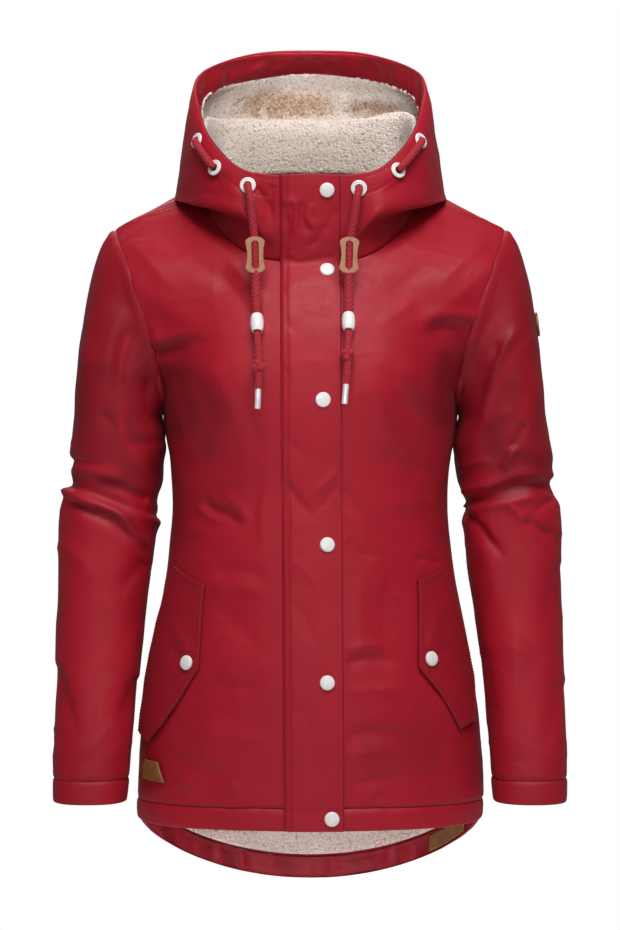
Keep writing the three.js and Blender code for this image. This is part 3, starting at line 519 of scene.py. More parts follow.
class Sheet:
    """A grid of points with its normals; it is shaped by heights along them, then made a closed piece."""

    def __init__(self, grid, thick, wrap=False):
        self.p, self.thick, self.wrap = grid, thick, wrap
        self.n = normals(grid, wrap)
        self.d = arcs(grid, wrap)
        self.h = np.zeros(grid.shape[:2])
        self.tone = None
        self.relief = 0.0
        self.px = on_photo(grid)
        self.facing = smooth(-self.n[..., 1], -0.25, 0.25)

    def folds(self, table, gain=1.0):
        for points, amp, width, *more in table:
            step = more[0] if more else 0
            ends = more[1] if len(more) > 1 else (0.3, 0.3)
            self.h += gain * self.facing * stroke(self.px, points, amp, width, step, ends)

    def seam(self, *sides, depth=1.0, width=1.5):
        """The cloth dips into a seam at these sides."""
        for side in sides:
            self.h -= depth * np.exp(-((self.d[side] / width) ** 1.3))

    def shade(self, table):
        """Painted shade along lines of photo points, a painted highlight where the amount is negative: amount and half
        width in pixels.
        """
        tone = np.zeros(self.h.shape) if self.tone is None else self.tone
        for points, amount, width, *ends in table:
            tone = tone + self.facing * stroke(self.px, points, amount, width, 0, ends[0] if ends else (0.25, 0.25))
        self.tone = np.clip(tone, 0, 1)

    # painted shade in a line at a distance from an edge, where the cloth dips into a seam
    def line(self, side, at=0.0, amount=0.9, width=0.8):
        tone = np.zeros(self.h.shape) if self.tone is None else self.tone
        self.tone = np.clip(tone + amount * np.exp(-(((self.d[side] - at) / width) ** 2)), 0, 1)

    def free(self, *sides, radius=None):
        """A rounded free edge."""
        r = radius or self.thick * 0.5
        for side in sides:
            x = np.clip(1 - self.d[side] / r, 0, 1)
            self.h -= r * (1 - np.sqrt(np.maximum(0, 1 - x * x)))

    def pucker(self, side, amp=0.35, size=8, reach=7, at=0.0, seed=1):
        """Small gathers square to a seam."""
        along = self.d["up"] if side in ("left", "right") else self.d["across"]
        w = np.exp(-((np.abs(self.d[side] - at) / reach) ** 1.5))
        self.h += amp * w * wave(along, size, seed)

    def groove(self, side, at, depth=0.4, width=0.9, where=None):
        g = depth * np.exp(-(((self.d[side] - at) / width) ** 2))
        self.h -= g if where is None else g * where

    def surface(self):
        return self.p + self.n * self.h[..., None]

    def stitch(self, side, at, where=None, **how):
        """A row of stitches at a distance from an edge, on the shaped surface."""
        top = self.surface()
        axis = 1 if side in ("left", "right") else 0
        d = self.d[side] if axis else self.d[side].T
        t = top if axis else np.swapaxes(top, 0, 1)
        nn = self.n if axis else np.swapaxes(self.n, 0, 1)
        w = None if where is None else (where if axis else where.T)
        line, out = [], []
        for i in range(d.shape[0]):
            row = d[i]
            order = np.argsort(row)
            if row.max() < at:
                continue
            if w is not None and np.interp(at, row[order], w[i][order]) < 0.5:
                if len(line) > 2:
                    sew(np.array(line), np.array(out), **how)
                line, out = [], []
                continue
            line.append([np.interp(at, row[order], t[i][order, c]) for c in range(3)])
            out.append([np.interp(at, row[order], nn[i][order, c]) for c in range(3)])
        if len(line) > 2:
            sew(np.array(line), np.array(out), **how)

    def topstitch(self, side, at, depth=0.4, width=0.9, where=None, **how):
        self.groove(side, at, depth, width, where)
        self.stitch(side, at, where, **how)

    def make(self, name, material, slot, nodes=(), ratio=3):
        top = self.surface()
        lowest = self.h
        for _ in range(ratio):
            pad = np.pad(lowest, 1, mode="edge")
            lowest = np.minimum.reduce([pad[1:-1, 1:-1], pad[:-2, 1:-1], pad[2:, 1:-1], pad[1:-1, :-2], pad[1:-1, 2:]])
        inner = np.minimum(self.h * 0.6, lowest + 0.3)
        low = self.p + self.n * (inner - self.thick - self.relief)[..., None]
        self.top = top
        o = solid(name, top, low, material, nodes, self.wrap, ratio)
        if ratio == 1:
            # painted shade on the band's inner side, darker in the hollows of its gathers
            inside = np.clip(0.42 - 0.55 * (self.relief - np.mean(self.relief)), 0, 1)
            both = np.stack([self.tone, inside])
            paint(o, both.size, tone=both)
        elif self.tone is not None:
            paint(o, top.shape[0] * top.shape[1], tone=self.tone)
        return o

    def declare(self, o, held="hung", with_pieces=()):
        """Prints the cut of this piece: the widths and lengths along its unfolded grid, and its flat area."""
        g = np.concatenate([self.p, self.p[:, :1]], 1) if self.wrap else self.p
        across = np.linalg.norm(np.diff(g, axis=1), axis=-1).sum(1).max() / 1000
        along = np.linalg.norm(np.diff(g, axis=0), axis=-1).sum(0).max() / 1000
        a, b = g[1:, 1:] - g[:-1, :-1], g[1:, :-1] - g[:-1, 1:]
        flat = np.linalg.norm(np.cross(a, b), axis=-1).sum() / 2e6
        flat = float(np.clip(flat, 0.301 * across * along, across * along))
        print("sheet %s %.3f x %.3f m, %.4f m2" % (o.name, across, along, flat))
        return o


def creases(p, size, seed, slope=0.35, stretch=0.34):
    """Soft creases of coated cloth, 0..1 across them, drawn out along a slope that falls away from the centre."""
    x, y, z = np.abs(p[..., 0]), p[..., 1], p[..., 2]
    c, v = 1 / math.hypot(1, slope), slope / math.hypot(1, slope)
    q = np.stack([(c * x - v * z) * stretch, y * 0.5, v * x + c * z], -1)
    q = q + 0.22 * size * np.stack([noise(p, size * 1.4, seed + i) for i in (1, 2, 3)], -1)
    n = noise(q, size, seed)
    mask = smooth(noise(p, size * 2.2, seed + 7), -0.35, 0.45)
    return (1 - np.abs(n)) ** 5 * mask


def relaxed(grid, rounds=60, reach=14.0):
    """The grid with its kinks evened out; its edges stay."""
    d = arcs(grid)
    edge = np.minimum(np.minimum(d["left"], d["right"]), np.minimum(d["bottom"], d["top"]))
    w = (0.8 * smooth(edge, 0, reach))[1:-1, 1:-1, None]
    g = grid.copy()
    for _ in range(rounds):
        mean = (g[:-2, 1:-1] + g[2:, 1:-1] + g[1:-1, :-2] + g[1:-1, 2:]) / 4
        g[1:-1, 1:-1] += w * (mean - g[1:-1, 1:-1])
    return g


def flipped(grid):
    return grid[:, ::-1]


def mirrored(grid):
    return flipped(grid * MIRROR)


# ------------------------------------------------------------------ materials
def nodes_of(name):
    m = bpy.data.materials.new(name)
    m.use_nodes = True
    nt = m.node_tree
    return m, nt, nt.nodes["Principled BSDF"]


def add(nt, kind, **values):
    n = nt.nodes.new(kind)
    for k, v in values.items():
        if hasattr(n, k) and not k.startswith("i_"):
            setattr(n, k, v)
    return n


def object_coords(nt, scale):
    tc = add(nt, "ShaderNodeTexCoord")
    mp = add(nt, "ShaderNodeMapping")
    mp.inputs["Scale"].default_value = scale if hasattr(scale, "__len__") else (scale,) * 3
    nt.links.new(tc.outputs["Object"], mp.inputs["Vector"])
    return mp.outputs["Vector"]


def noise_node(nt, vector, scale, detail=2.0, rough=0.5):
    n = add(nt, "ShaderNodeTexNoise")
    n.inputs["Scale"].default_value = scale
    n.inputs["Detail"].default_value = detail
    n.inputs["Roughness"].default_value = rough
    nt.links.new(vector, n.inputs["Vector"])
    return n.outputs["Fac"]


def ramp(nt, fac, stops):
    r = add(nt, "ShaderNodeValToRGB")
    e = r.color_ramp.elements
    while len(e) < len(stops):
        e.new(0.5)
    for x, (at, colour) in zip(e, stops):
        x.position = at
        x.color = (*colour, 1) if len(colour) == 3 else colour
    nt.links.new(fac, r.inputs["Fac"])
    return r.outputs["Color"]


def bump(nt, height, strength, distance, normal=None):
    b = add(nt, "ShaderNodeBump")
    b.inputs["Strength"].default_value = strength
    b.inputs["Distance"].default_value = distance
    nt.links.new(height, b.inputs["Height"])
    if normal is not None:
        nt.links.new(normal, b.inputs["Normal"])
    return b.outputs["Normal"]


def mixed(nt, factor, a, b, how="MIX"):
    m = nt.nodes.new("ShaderNodeMix")
    m.data_type = "RGBA"
    m.blend_type = how
    for socket, value in ((m.inputs[0], factor), (m.inputs[6], a), (m.inputs[7], b)):
        if hasattr(value, "is_linked"):
            nt.links.new(value, socket)
        else:
            socket.default_value = value
    return m.outputs[2]


def sums(nt, a, b, weight):
    """a times weight, plus b."""
    m = nt.nodes.new("ShaderNodeMath")
    m.operation = "MULTIPLY_ADD"
    nt.links.new(a, m.inputs[0])
    m.inputs[1].default_value = weight
    if hasattr(b, "is_linked"):
        nt.links.new(b, m.inputs[2])
    else:
        m.inputs[2].default_value = b
    return m.outputs[0]


def coated_cloth(name, dark, light, rough=0.50, grain=0.12):
    """Matt polyurethane skin on a knit: a satin sheen, a very fine grain, slight clouds in colour; painted shade from
    the mesh darkens it.
    """
    m, nt, p = nodes_of(name)
    v = object_coords(nt, 1.0)
    clouds = noise_node(nt, v, 14.0, 3.0, 0.55)
    col = ramp(nt, clouds, [(0.3, dark), (0.7, light)])
    tone = nt.nodes.new("ShaderNodeAttribute")
    tone.attribute_name = "tone"
    # painted shade: where the mesh asks for it, the colour goes towards itself times this dark colour
    col = mixed(nt, tone.outputs["Fac"], col, mixed(nt, 1.0, col, (0.60, 0.42, 0.55, 1), "MULTIPLY"))
    nt.links.new(col, p.inputs["Base Color"])
    fine = noise_node(nt, v, 1500.0, 2.0, 0.6)
    soft = noise_node(nt, v, 150.0, 3.0, 0.5)
    n = bump(nt, soft, 0.16, 0.0012)
    n = bump(nt, fine, grain, 0.0002, n)
    nt.links.new(n, p.inputs["Normal"])
    r = ramp(nt, soft, [(0.25, (rough - 0.04,) * 3), (0.75, (rough + 0.06,) * 3)])
    nt.links.new(r, p.inputs["Roughness"])
    p.inputs["Specular IOR Level"].default_value = 0.25
    p.inputs["Sheen Weight"].default_value = 0.02
    p.inputs["Sheen Roughness"].default_value = 0.5
    p.inputs["Sheen Tint"].default_value = (1.0, 0.75, 0.75, 1)
    return m


def curls(nt, vector, scale, warp):
    """Rounded curls of pile: near 1 on a curl, near 0 between them."""
    n = nt.nodes.new("ShaderNodeTexNoise")
    n.inputs["Scale"].default_value = scale * 0.8
    n.inputs["Detail"].default_value = 2.0
    nt.links.new(vector, n.inputs["Vector"])
    v = nt.nodes.new("ShaderNodeVectorMath")
    v.operation = "MULTIPLY_ADD"
    nt.links.new(n.outputs["Color"], v.inputs[0])
    v.inputs[1].default_value = (warp, warp, warp)
    nt.links.new(vector, v.inputs[2])
    t = nt.nodes.new("ShaderNodeTexVoronoi")
    t.inputs["Scale"].default_value = scale
    nt.links.new(v.outputs[0], t.inputs["Vector"])
    return sums(nt, t.outputs["Distance"], 1.0, -1.15)


def pile(name, deep, mid, tip, tan=(0.50, 0.35, 0.22, 1), dusk=(0.60, 0.55, 0.51, 1)):
    """Sherpa: small curls, with painted shade between them and lighter at their tips; tufts, painted warm shade and
    painted dim shade come with the mesh.
    """
    m, nt, p = nodes_of(name)
    v = object_coords(nt, 1.0)
    painted = {}
    for field in ("height", "warm_shade", "dim"):
        a = nt.nodes.new("ShaderNodeAttribute")
        a.attribute_name = field
        painted[field] = a.outputs["Fac"]
    big, small = curls(nt, v, 360.0, 0.0030), curls(nt, v, 760.0, 0.0014)
    both = sums(nt, small, big, 0.45)
    level = sums(nt, painted["height"], both, 0.55)
    col = ramp(nt, level, [(0.28, deep), (0.60, mid), (0.96, tip)])
    # painted warm shade, most between the curls, then painted dim shade
    between = nt.nodes.new("ShaderNodeMath")
    between.operation = "MULTIPLY"
    between.use_clamp = True
    nt.links.new(painted["warm_shade"], between.inputs[0])
    nt.links.new(sums(nt, level, 1.45, -0.62), between.inputs[1])
    col = mixed(nt, between.outputs[0], col, mixed(nt, 1.0, col, tan, "MULTIPLY"))
    col = mixed(nt, painted["dim"], col, mixed(nt, 1.0, col, dusk, "MULTIPLY"))
    nt.links.new(col, p.inputs["Base Color"])
    nt.links.new(bump(nt, both, 0.95, 0.0018), p.inputs["Normal"])
    p.inputs["Roughness"].default_value = 0.95
    p.inputs["Specular IOR Level"].default_value = 0.12
    p.inputs["Sheen Weight"].default_value = 0.25
    p.inputs["Sheen Roughness"].default_value = 0.6
    p.inputs["Sheen Tint"].default_value = (1.0, 0.95, 0.9, 1)
    return m


def hide(name, dark, light, rough=0.55):
    m, nt, p = nodes_of(name)
    v = object_coords(nt, 1.0)
    clouds = noise_node(nt, v, 90.0, 5.0, 0.6)
    nt.links.new(ramp(nt, clouds, [(0.3, dark), (0.7, light)]), p.inputs["Base Color"])
    vor = add(nt, "ShaderNodeTexVoronoi")
    vor.inputs["Scale"].default_value = 1100.0
    nt.links.new(v, vor.inputs["Vector"])
    nt.links.new(bump(nt, vor.outputs["Distance"], 0.35, 0.0003), p.inputs["Normal"])
    nt.links.new(
        ramp(nt, clouds, [(0.3, (rough - 0.06,) * 3), (0.7, (rough + 0.08,) * 3)]),
        p.inputs["Roughness"],
    )
    return m


def lacquer(name, colour, rough, metallic=0.0, coat=0.0, mottle=None):
    m, nt, p = nodes_of(name)
    v = object_coords(nt, 1.0)
    n1 = noise_node(nt, v, 240.0, 4.0, 0.6)
    other = mottle or tuple(c * 0.9 for c in colour)
    nt.links.new(ramp(nt, n1, [(0.35, other), (0.6, colour)]), p.inputs["Base Color"])
    nt.links.new(
        ramp(nt, n1, [(0.3, (rough + 0.06,) * 3), (0.7, (rough - 0.03,) * 3)]),
        p.inputs["Roughness"],
    )
    nt.links.new(bump(nt, noise_node(nt, v, 900.0, 2.0), 0.05, 0.0002), p.inputs["Normal"])
    p.inputs["Metallic"].default_value = metallic
    p.inputs["Coat Weight"].default_value = coat
    p.inputs["Coat Roughness"].default_value = 0.15
    return m


def yarn(name, dark, light, rough=0.75):
    m, nt, p = nodes_of(name)
    v = object_coords(nt, 1.0)
    fibres = noise_node(nt, v, 1400.0, 3.0, 0.6)
    nt.links.new(ramp(nt, fibres, [(0.3, dark), (0.7, light)]), p.inputs["Base Color"])
    nt.links.new(bump(nt, fibres, 0.4, 0.0003), p.inputs["Normal"])
    p.inputs["Roughness"].default_value = rough
    p.inputs["Specular IOR Level"].default_value = 0.3
    p.inputs["Sheen Weight"].default_value = 0.25
    p.inputs["Sheen Roughness"].default_value = 0.4
    p.inputs["Sheen Tint"].default_value = (1.0, 0.5, 0.5, 1)
    return m


RED = coated_cloth("red_coated_cloth", (0.330, 0.0045, 0.0155), (0.370, 0.006, 0.019), 0.52)
# a darker copy of the red cloth: painted shade for the facing inside the hood
RED_FACING_SHADED = coated_cloth("red_facing_shaded", (0.20, 0.003, 0.009), (0.26, 0.004, 0.012), 0.45)
PILE = pile("sherpa", (0.44, 0.32, 0.24), (0.84, 0.72, 0.64), (0.97, 0.90, 0.85))
# a pinker copy of the sherpa for the back's hem, also painted brighter against the shade it lies in
PILE_HEM = pile("sherpa_hem", (0.46, 0.27, 0.22), (0.84, 0.61, 0.54), (0.95, 0.79, 0.73))
BROWN = hide("brown_leather", (0.18, 0.060, 0.014), (0.28, 0.11, 0.032))
TAN = hide("tan_leather", (0.36, 0.15, 0.075), (0.47, 0.22, 0.12), 0.6)
WHITE = lacquer("white_lacquer", (0.83, 0.80, 0.78), 0.32, coat=0.2)
BEAD_WHITE = lacquer("white_plastic", (0.86, 0.84, 0.83), 0.28, coat=0.2)
TIP_WHITE = lacquer("white_tip", (0.84, 0.84, 0.86), 0.22, metallic=0.35, coat=0.3)
CORD_RED = yarn("red_braid", (0.26, 0.008, 0.018), (0.44, 0.022, 0.038))
THREAD = yarn("red_thread", (0.24, 0.008, 0.018), (0.36, 0.018, 0.03), 0.6)


# ------------------------------------------------------------------ fronts
def panel_grid(front, step, k0=0.0, k1=13.0, t0=0.0, t1=1.0):
    f = lambda k, t: body(k, t, front)
    kk = lambda k, t: body(k, np.full_like(k, t), front)
    tt = lambda t, k: body(np.full_like(t, k), t, front)
    lk = length_of(kk, k0, k1, 0.6)
    lt = length_of(tt, t0, t1, 4.0)
    ks, _ = spread(kk, k0, k1, marks(lk, step), 0.6)
    ts, _ = spread(tt, t0, t1, marks(lt, step), 4.0)
    return f(*np.meshgrid(ks, ts, indexing="ij")), ks, ts


TIP, TIP_REACH = 4.2, 36.0  # the shoulder tip is lifted by this much, over this far down the armhole


def arched(grid, amount=6.5, reach=42):
    """The shoulder line bows up between the neck and the shoulder tip; grid columns run from the centre to the side."""
    d = arcs(grid)
    u = d["across"] / d["across"][:, -1:]
    g = grid.copy()
    g[..., 2] += amount * np.sin(np.pi * u[-1]) ** 0.8 * np.exp(-((d["top"] / reach) ** 2))
    g[..., 2] += TIP * smooth(u[-1], 0.3, 0.95) * np.exp(-((d["top"] / TIP_REACH) ** 2))
    return g


# points, height, half width in pixels, s-shaped step, share that fades at each end
FRONT_RIGHT_FOLDS = [  # the wearer's right, on the photo's left
    [[(153, 345), (172, 338.5), (196, 337), (224, 341)], 1.1, 4.5, 0.8, (0.02, 0.6)],
    [[(156, 353), (174, 349), (196, 347)], -1.3, 4.5, 0, (0.02, 0.6)],
    [[(118, 262), (150, 296), (196, 324), (250, 346)], 1.6, 13, 0, (0.3, 0.4)],
    [[(150, 228), (190, 256), (240, 296)], -1.6, 11, 0, (0.3, 0.4)],
    [[(180, 214), (214, 246), (262, 272)], 1.6, 8, 0, (0.2, 0.5)],
    [[(126, 240), (150, 262), (182, 300)], 1.0, 7, 0, (0.2, 0.5)],
    [[(212, 262), (236, 292), (262, 330)], -1.0, 8, 0, (0.3, 0.4)],
    [[(222, 252), (246, 280), (272, 308)], 0.9, 6, 0, (0.3, 0.4)],
    [[(150, 318), (158, 336), (163, 352)], 1.0, 3.5, 0, (0.3, 0.5)],
    [[(205, 355), (226, 392), (246, 440)], 1.3, 9, 0, (0.3, 0.4)],
    [[(190, 366), (206, 404), (220, 452)], -1.4, 8, 0, (0.3, 0.4)],
    [[(170, 372), (180, 412), (186, 452)], 1.2, 7, 0, (0.3, 0.4)],
    [[(234, 380), (254, 430), (266, 470)], -1.0, 7, 0, (0.3, 0.4)],
    [[(172, 470), (204, 458), (250, 462)], -1.3, 11, 0, (0.2, 0.5)],
    [[(204, 496), (216, 508), (232, 514), (246, 528)], -1.5, 4.0, 0.7, (0.2, 0.3)],
    [[(196, 503), (210, 516), (228, 524)], 1.2, 4.0, 0, (0.2, 0.4)],
    [[(222, 490), (240, 506), (254, 528)], 1.1, 4.0, 0, (0.2, 0.4)],
    [[(180, 520), (212, 534), (262, 534)], 0.9, 8, 0, (0.2, 0.5)],
    [[(250, 440), (258, 490), (252, 540)], -1.0, 8, 0, (0.4, 0.4)],
    [[(266, 480), (262, 520), (268, 560)], 1.0, 5, 0, (0.4, 0.4)],
    [[(210, 574), (240, 570), (272, 580)], -1.0, 6, 0, (0.2, 0.3)],
    [[(208, 590), (240, 588), (272, 596)], 0.8, 6, 0, (0.2, 0.3)],
    [[(208, 612), (234, 620), (262, 660)], -1.1, 13, 0, (0.3, 0.4)],
    [[(206, 680), (232, 688), (270, 684)], -0.9, 7, 0, (0.2, 0.4)],
    [[(182, 740), (220, 734), (270, 742)], 1.0, 8, 0, (0.3, 0.4)],
    [[(160, 754), (196, 768), (240, 780)], -0.9, 7, 0, (0.3, 0.4)],
    [[(176, 776), (190, 786), (196, 796)], 0.9, 4, 0, (0.3, 0.1)],
    [[(226, 780), (236, 788), (238, 797)], 0.9, 4, 0, (0.3, 0.1)],
]
# painted shade along lines: points, amount, half width in pixels, share that fades at each end
FRONT_RIGHT_SHADE = [
    [[(157, 352), (176, 348), (200, 348)], 1.0, 5, (0.02, 0.5)],
    [[(158, 360), (164, 400), (174, 450)], 0.9, 11, (0.1, 0.3)],
    [[(178, 362), (190, 404), (192, 450)], 0.75, 12, (0.1, 0.3)],
    [[(200, 207), (220, 213), (250, 226)], 0.3, 4, (0.2, 0.1)],
    [[(206, 392), (210, 430), (206, 474)], 0.4, 8, (0.3, 0.4)],
    [[(209, 388), (220, 410), (232, 436)], 0.35, 5, (0.3, 0.4)],
    [[(234, 396), (241, 414), (248, 430)], 0.3, 4, (0.3, 0.4)],
    [[(204, 497), (218, 510), (234, 517), (248, 530)], 0.4, 3.5, (0.2, 0.3)],
    [[(168, 466), (176, 510), (170, 560)], 0.45, 10, (0.2, 0.3)],
]
# painted shade, the same way, on the wearer's left
FRONT_LEFT_SHADE = [
    [[(420, 335), (434, 327), (452, 328), (478, 340)], 0.9, 5.5, (0.3, 0.15)],
    [[(472, 338), (460, 372), (452, 446)], 1.0, 11, (0, 0.3)],
    [[(446, 346), (440, 390), (440, 440)], 0.75, 9, (0.1, 0.3)],
    [[(420, 206), (400, 213), (372, 226)], 0.3, 4, (0.2, 0.1)],
    [[(402, 368), (416, 394), (426, 420)], 0.45, 5, (0.3, 0.4)],
    [[(380, 396), (392, 424), (404, 450)], 0.3, 5, (0.3, 0.4)],
    [[(356, 762), (400, 748), (446, 752)], 0.45, 26, (0.2, 0.1)],
    [[(346, 662), (372, 659), (400, 664)], 0.3, 4, (0.05, 0.5)],
    [[(446, 466), (440, 510), (446, 560)], 0.4, 9, (0.2, 0.3)],
]
FRONT_LEFT_FOLDS = [
    [[(416, 337), (430, 321), (450, 316), (482, 320)], 1.3, 4.5, 0.7, (0.4, 0)],
    [[(422, 338), (438, 329), (454, 328), (484, 334)], -1.3, 5, 0, (0.4, 0)],
    [[(500, 250), (470, 286), (430, 314), (372, 336)], 1.6, 12, 0, (0.2, 0.4)],
    [[(470, 232), (430, 262), (384, 300)], -1.5, 11, 0, (0.3, 0.4)],
    [[(440, 212), (410, 242), (366, 262)], 1.5, 8, 0, (0.2, 0.5)],
    [[(490, 240), (462, 262), (436, 290)], 1.0, 6, 0, (0.2, 0.4)],
    [[(420, 296), (396, 314), (370, 328)], 1.0, 6, 0, (0.3, 0.4)],
    [[(400, 352), (420, 390), (440, 430)], 1.4, 7, 0, (0.3, 0.4)],
    [[(410, 346), (430, 376), (448, 410)], -1.3, 6, 0, (0.3, 0.4)],
    [[(380, 360), (404, 400), (424, 440)], -1.2, 8, 0, (0.3, 0.4)],
    [[(362, 372), (382, 410), (398, 456)], 1.0, 8, 0, (0.3, 0.4)],
    [[(350, 470), (390, 462), (440, 478)], -1.3, 11, 0, (0.3, 0.3)],
    [[(352, 520), (388, 506), (440, 500)], 1.2, 9, 0, (0.3, 0.3)],
    [[(344, 486), (352, 500), (366, 524)], -1.2, 4, 0.5, (0.1, 0.5)],
    [[(346, 508), (358, 526), (376, 544)], 1.0, 4, 0, (0.1, 0.5)],
    [[(346, 540), (360, 552), (386, 558)], -0.9, 4, 0, (0.1, 0.5)],
    [[(346, 660), (372, 656), (404, 662)], -1.5, 5, 0.6, (0.05, 0.5)],
    [[(346, 650), (370, 646), (398, 650)], 1.0, 5, 0, (0.05, 0.5)],
    [[(346, 690), (384, 690), (420, 684)], 1.0, 6, 0, (0.05, 0.5)],
    [[(346, 735), (376, 730), (426, 742)], -1.3, 6, 0.5, (0.05, 0.5)],
    [[(346, 756), (384, 752), (440, 764)], 1.0, 6, 0, (0.05, 0.5)],
    [[(348, 786), (378, 780), (420, 786)], -1.0, 5, 0, (0.05, 0.5)],
    [[(392, 560), (384, 620), (390, 690)], -1.0, 11, 0, (0.3, 0.4)],
    [[(364, 560), (360, 620), (364, 690)], 0.9, 8, 0, (0.3, 0.4)],
    [[(440, 566), (426, 560), (412, 564)], -1.2, 3, 0.5, (0.1, 0.4)],
    [[(380, 786), (374, 792), (374, 798)], 0.8, 4, 0, (0.3, 0.1)],
    [[(430, 782), (426, 790), (428, 797)], 0.8, 4, 0, (0.3, 0.1)],
]


def shaped_front(side):
    grid, ks, ts = panel_grid(True, 2.1)
    grid = arched(relaxed(grid))
    if side < 0:
        grid = mirrored(grid)
    s = Sheet(grid, 1.8)
    s.folds(FRONT_LEFT_FOLDS if side > 0 else FRONT_RIGHT_FOLDS, 1.9)
    edge = np.exp(-((np.abs(grid[..., 0]) / 40) ** 4))  # kept flat under the placket
    soft = 0.9 * noise(grid * [1, 1, 0.55], 62, 3) + 0.35 * noise(grid * [1, 1, 0.7], 27, 4)
    soft += 0.9 * creases(grid, 46, 150 + side) + 0.5 * creases(grid, 24, 160 + side, 0.15) - 0.3
    # the chest flows on to the waist without a hollow
    soft += 2.6 * np.exp(-(((grid[..., 2] + 300) / 75) ** 2)) * (1 - smooth(np.abs(grid[..., 0]), 60, 125))
    s.h = (s.h + soft) * (1 - edge)
    outer, inner = ("right", "left") if side > 0 else ("left", "right")
    s.seam(outer, "top", depth=0.7, width=1.2)
    s.seam("bottom", depth=1.5, width=1.8)
    # painted shade along the folds and in the hollows under the arm, and in lines along the seams
    s.shade(FRONT_LEFT_SHADE if side > 0 else FRONT_RIGHT_SHADE)
    s.line(outer)
    s.line("top", 7.0)
    s.line("bottom")
    z, x = grid[..., 2], np.abs(grid[..., 0])
    s.h += 1.6 * np.exp(-((s.d[outer] / 14) ** 2)) * np.exp(-(((z + 238) / 34) ** 4))
    s.groove("top", 7.0, 1.0, 1.3)
    s.h += 0.5 * np.exp(-(((s.d["top"] - 9.6) / 1.6) ** 2))
    s.stitch("top", 9.4)
    s.pucker(outer, 0.45, 11, 12, seed=5)
    s.pucker("bottom", 0.45, 9, 9, seed=6)
    s.pucker("top", 0.3, 10, 8, seed=7)
    s.topstitch("bottom", 2.2, 0.25)
    name = "front_left" if side > 0 else "front_right"
    return s, name


front_l, _ = shaped_front(1)
FRONT_L = front_l.declare(front_l.make("cloth_front_left", RED, "shell", ["front_left"]))
front_r, _ = shaped_front(-1)
FRONT_R = front_r.declare(front_r.make("cloth_front_right", RED, "shell", ["front_right"]))


# ------------------------------------------------------------------ back, in two halves
def shaped_back(side):
    grid = flipped(arched(panel_grid(False, 4.2)[0]))
    if side < 0:
        grid = mirrored(grid)
    s = Sheet(grid, 1.8)
    s.h += 1.5 * noise(grid * [1, 1, 0.5], 80, 13) + 0.5 * noise(grid * [1, 1, 0.7], 34, 14)
    z = grid[..., 2]
    x = np.abs(grid[..., 0])
    # drag lines across the waist and below the neck
    s.h += 1.2 * np.sin((z + 0.25 * x) / 11.0) * np.exp(-(((z + 330) / 60) ** 2)) * np.exp(-((x - 70) / 70) ** 2)
    centre = "right" if side > 0 else "left"
    outer = "left" if side > 0 else "right"
    s.seam(centre, depth=0.8, width=1.4)
    s.seam(outer, "top", "bottom", depth=1.0, width=1.8)
    s.pucker("bottom", 0.4, 9, 9, seed=16)
    s.topstitch(centre, 3.0, 0.3)
    s.topstitch("bottom", 2.2, 0.25)
    return s


back_l, back_r = shaped_back(1), shaped_back(-1)
BACK_L = back_l.declare(back_l.make("cloth_back_left", RED, "shell", ["back_left"]))
BACK_R = back_r.declare(back_r.make("cloth_back_right", RED, "shell", ["back_right"]))


# ------------------------------------------------------------------ hem bands: the seam row and the same row let down
def drop(u):
    return 23.5 - 4 * u**4


def band(row, u, step=2.4, thick=4.0):
    """A turned-up band below a row of points; u runs 0 at the centre to 1 at the side."""
    shares = marks(float(drop(u).max()), step)
    return np.stack([row - np.array([0, 0, 1.0]) * (drop(u) * (1 - f))[:, None] for f in shares])


def hem_piece(name, node, row, u, seed, sides, gathers=1.0, ratio=3):
    s = Sheet(band(row, u), 4.0)
    s.h += 0.6 * noise(s.p, 34, seed) + 0.45 * noise(s.p, 15, seed + 1)
    d = np.minimum(s.d["bottom"], s.d["top"])
    s.h += 0.5 * smooth(d, 0, 8) - 0.2
    s.seam("top", depth=2.0, width=2.0)
    # painted shade along the seam at the top
    s.line("top", 0.0, 0.9, 1.0)
    s.pucker("top", 0.7 * gathers, 9, 9, seed=seed + 2)
    s.pucker("bottom", 0.4 * gathers, 10, 10, seed=seed + 3)
    s.free("bottom", radius=2.0)
    for side in sides:
        s.seam(side, depth=0.9, width=1.5)
    if ratio == 1:  # its inner side shows below the front hem
        along = s.d["across"]
        rows = 3.0 * wave(along, 9.5, seed + 5) + 1.5 * wave(along, 19, seed + 6)
        s.relief = smooth(d, 0, 5) * (1.4 + rows) + 0.6 * noise(s.p, 11, seed + 7)
        s.relief -= 0.9 * np.exp(-(((s.d["top"] - 4.5) / 1.2) ** 2))
        under_label = smooth(s.p[..., 0], 0, 1) * smooth(u, 0.40, 0.47) * (1 - smooth(u, 0.78, 0.85))
        s.relief = s.relief * (1 - under_label)
    s.declare(s.make(name, RED, "shell", [node], ratio))
    return s


def even_row(front, step):
    tt = lambda t, k: body(np.full_like(t, k), t, front)
    ts, _ = spread(tt, 0, 1, marks(length_of(tt, 0, 1, 0.0), step), 0.0)
    return body(0.0, ts, front), ts


row, ts = even_row(True, 2.2)
hem_l = hem_piece("hem_band_left", "hem_front_left", row, ts, 21, ["right"])
hem_r = hem_piece("hem_band_right", "hem_front_right", (row * MIRROR)[::-1], ts[::-1], 25, ["left"])
row, ts = even_row(False, 3.0)
row = np.concatenate([row[::-1], (row * MIRROR)[1:]])
tb = np.concatenate([ts[::-1], ts[1:]])
while (len(row) - 1) % 3:
    half = (row[0] + row[1]) / 2
    row = np.concatenate([row[:1], half[None], row[1:]])
    tb = np.concatenate([tb[:1], [(tb[0] + tb[1]) / 2], tb[1:]])
hem_b = hem_piece("hem_band_back", "hem_back", row, tb, 29, ["left", "right"], 1.9, 1)

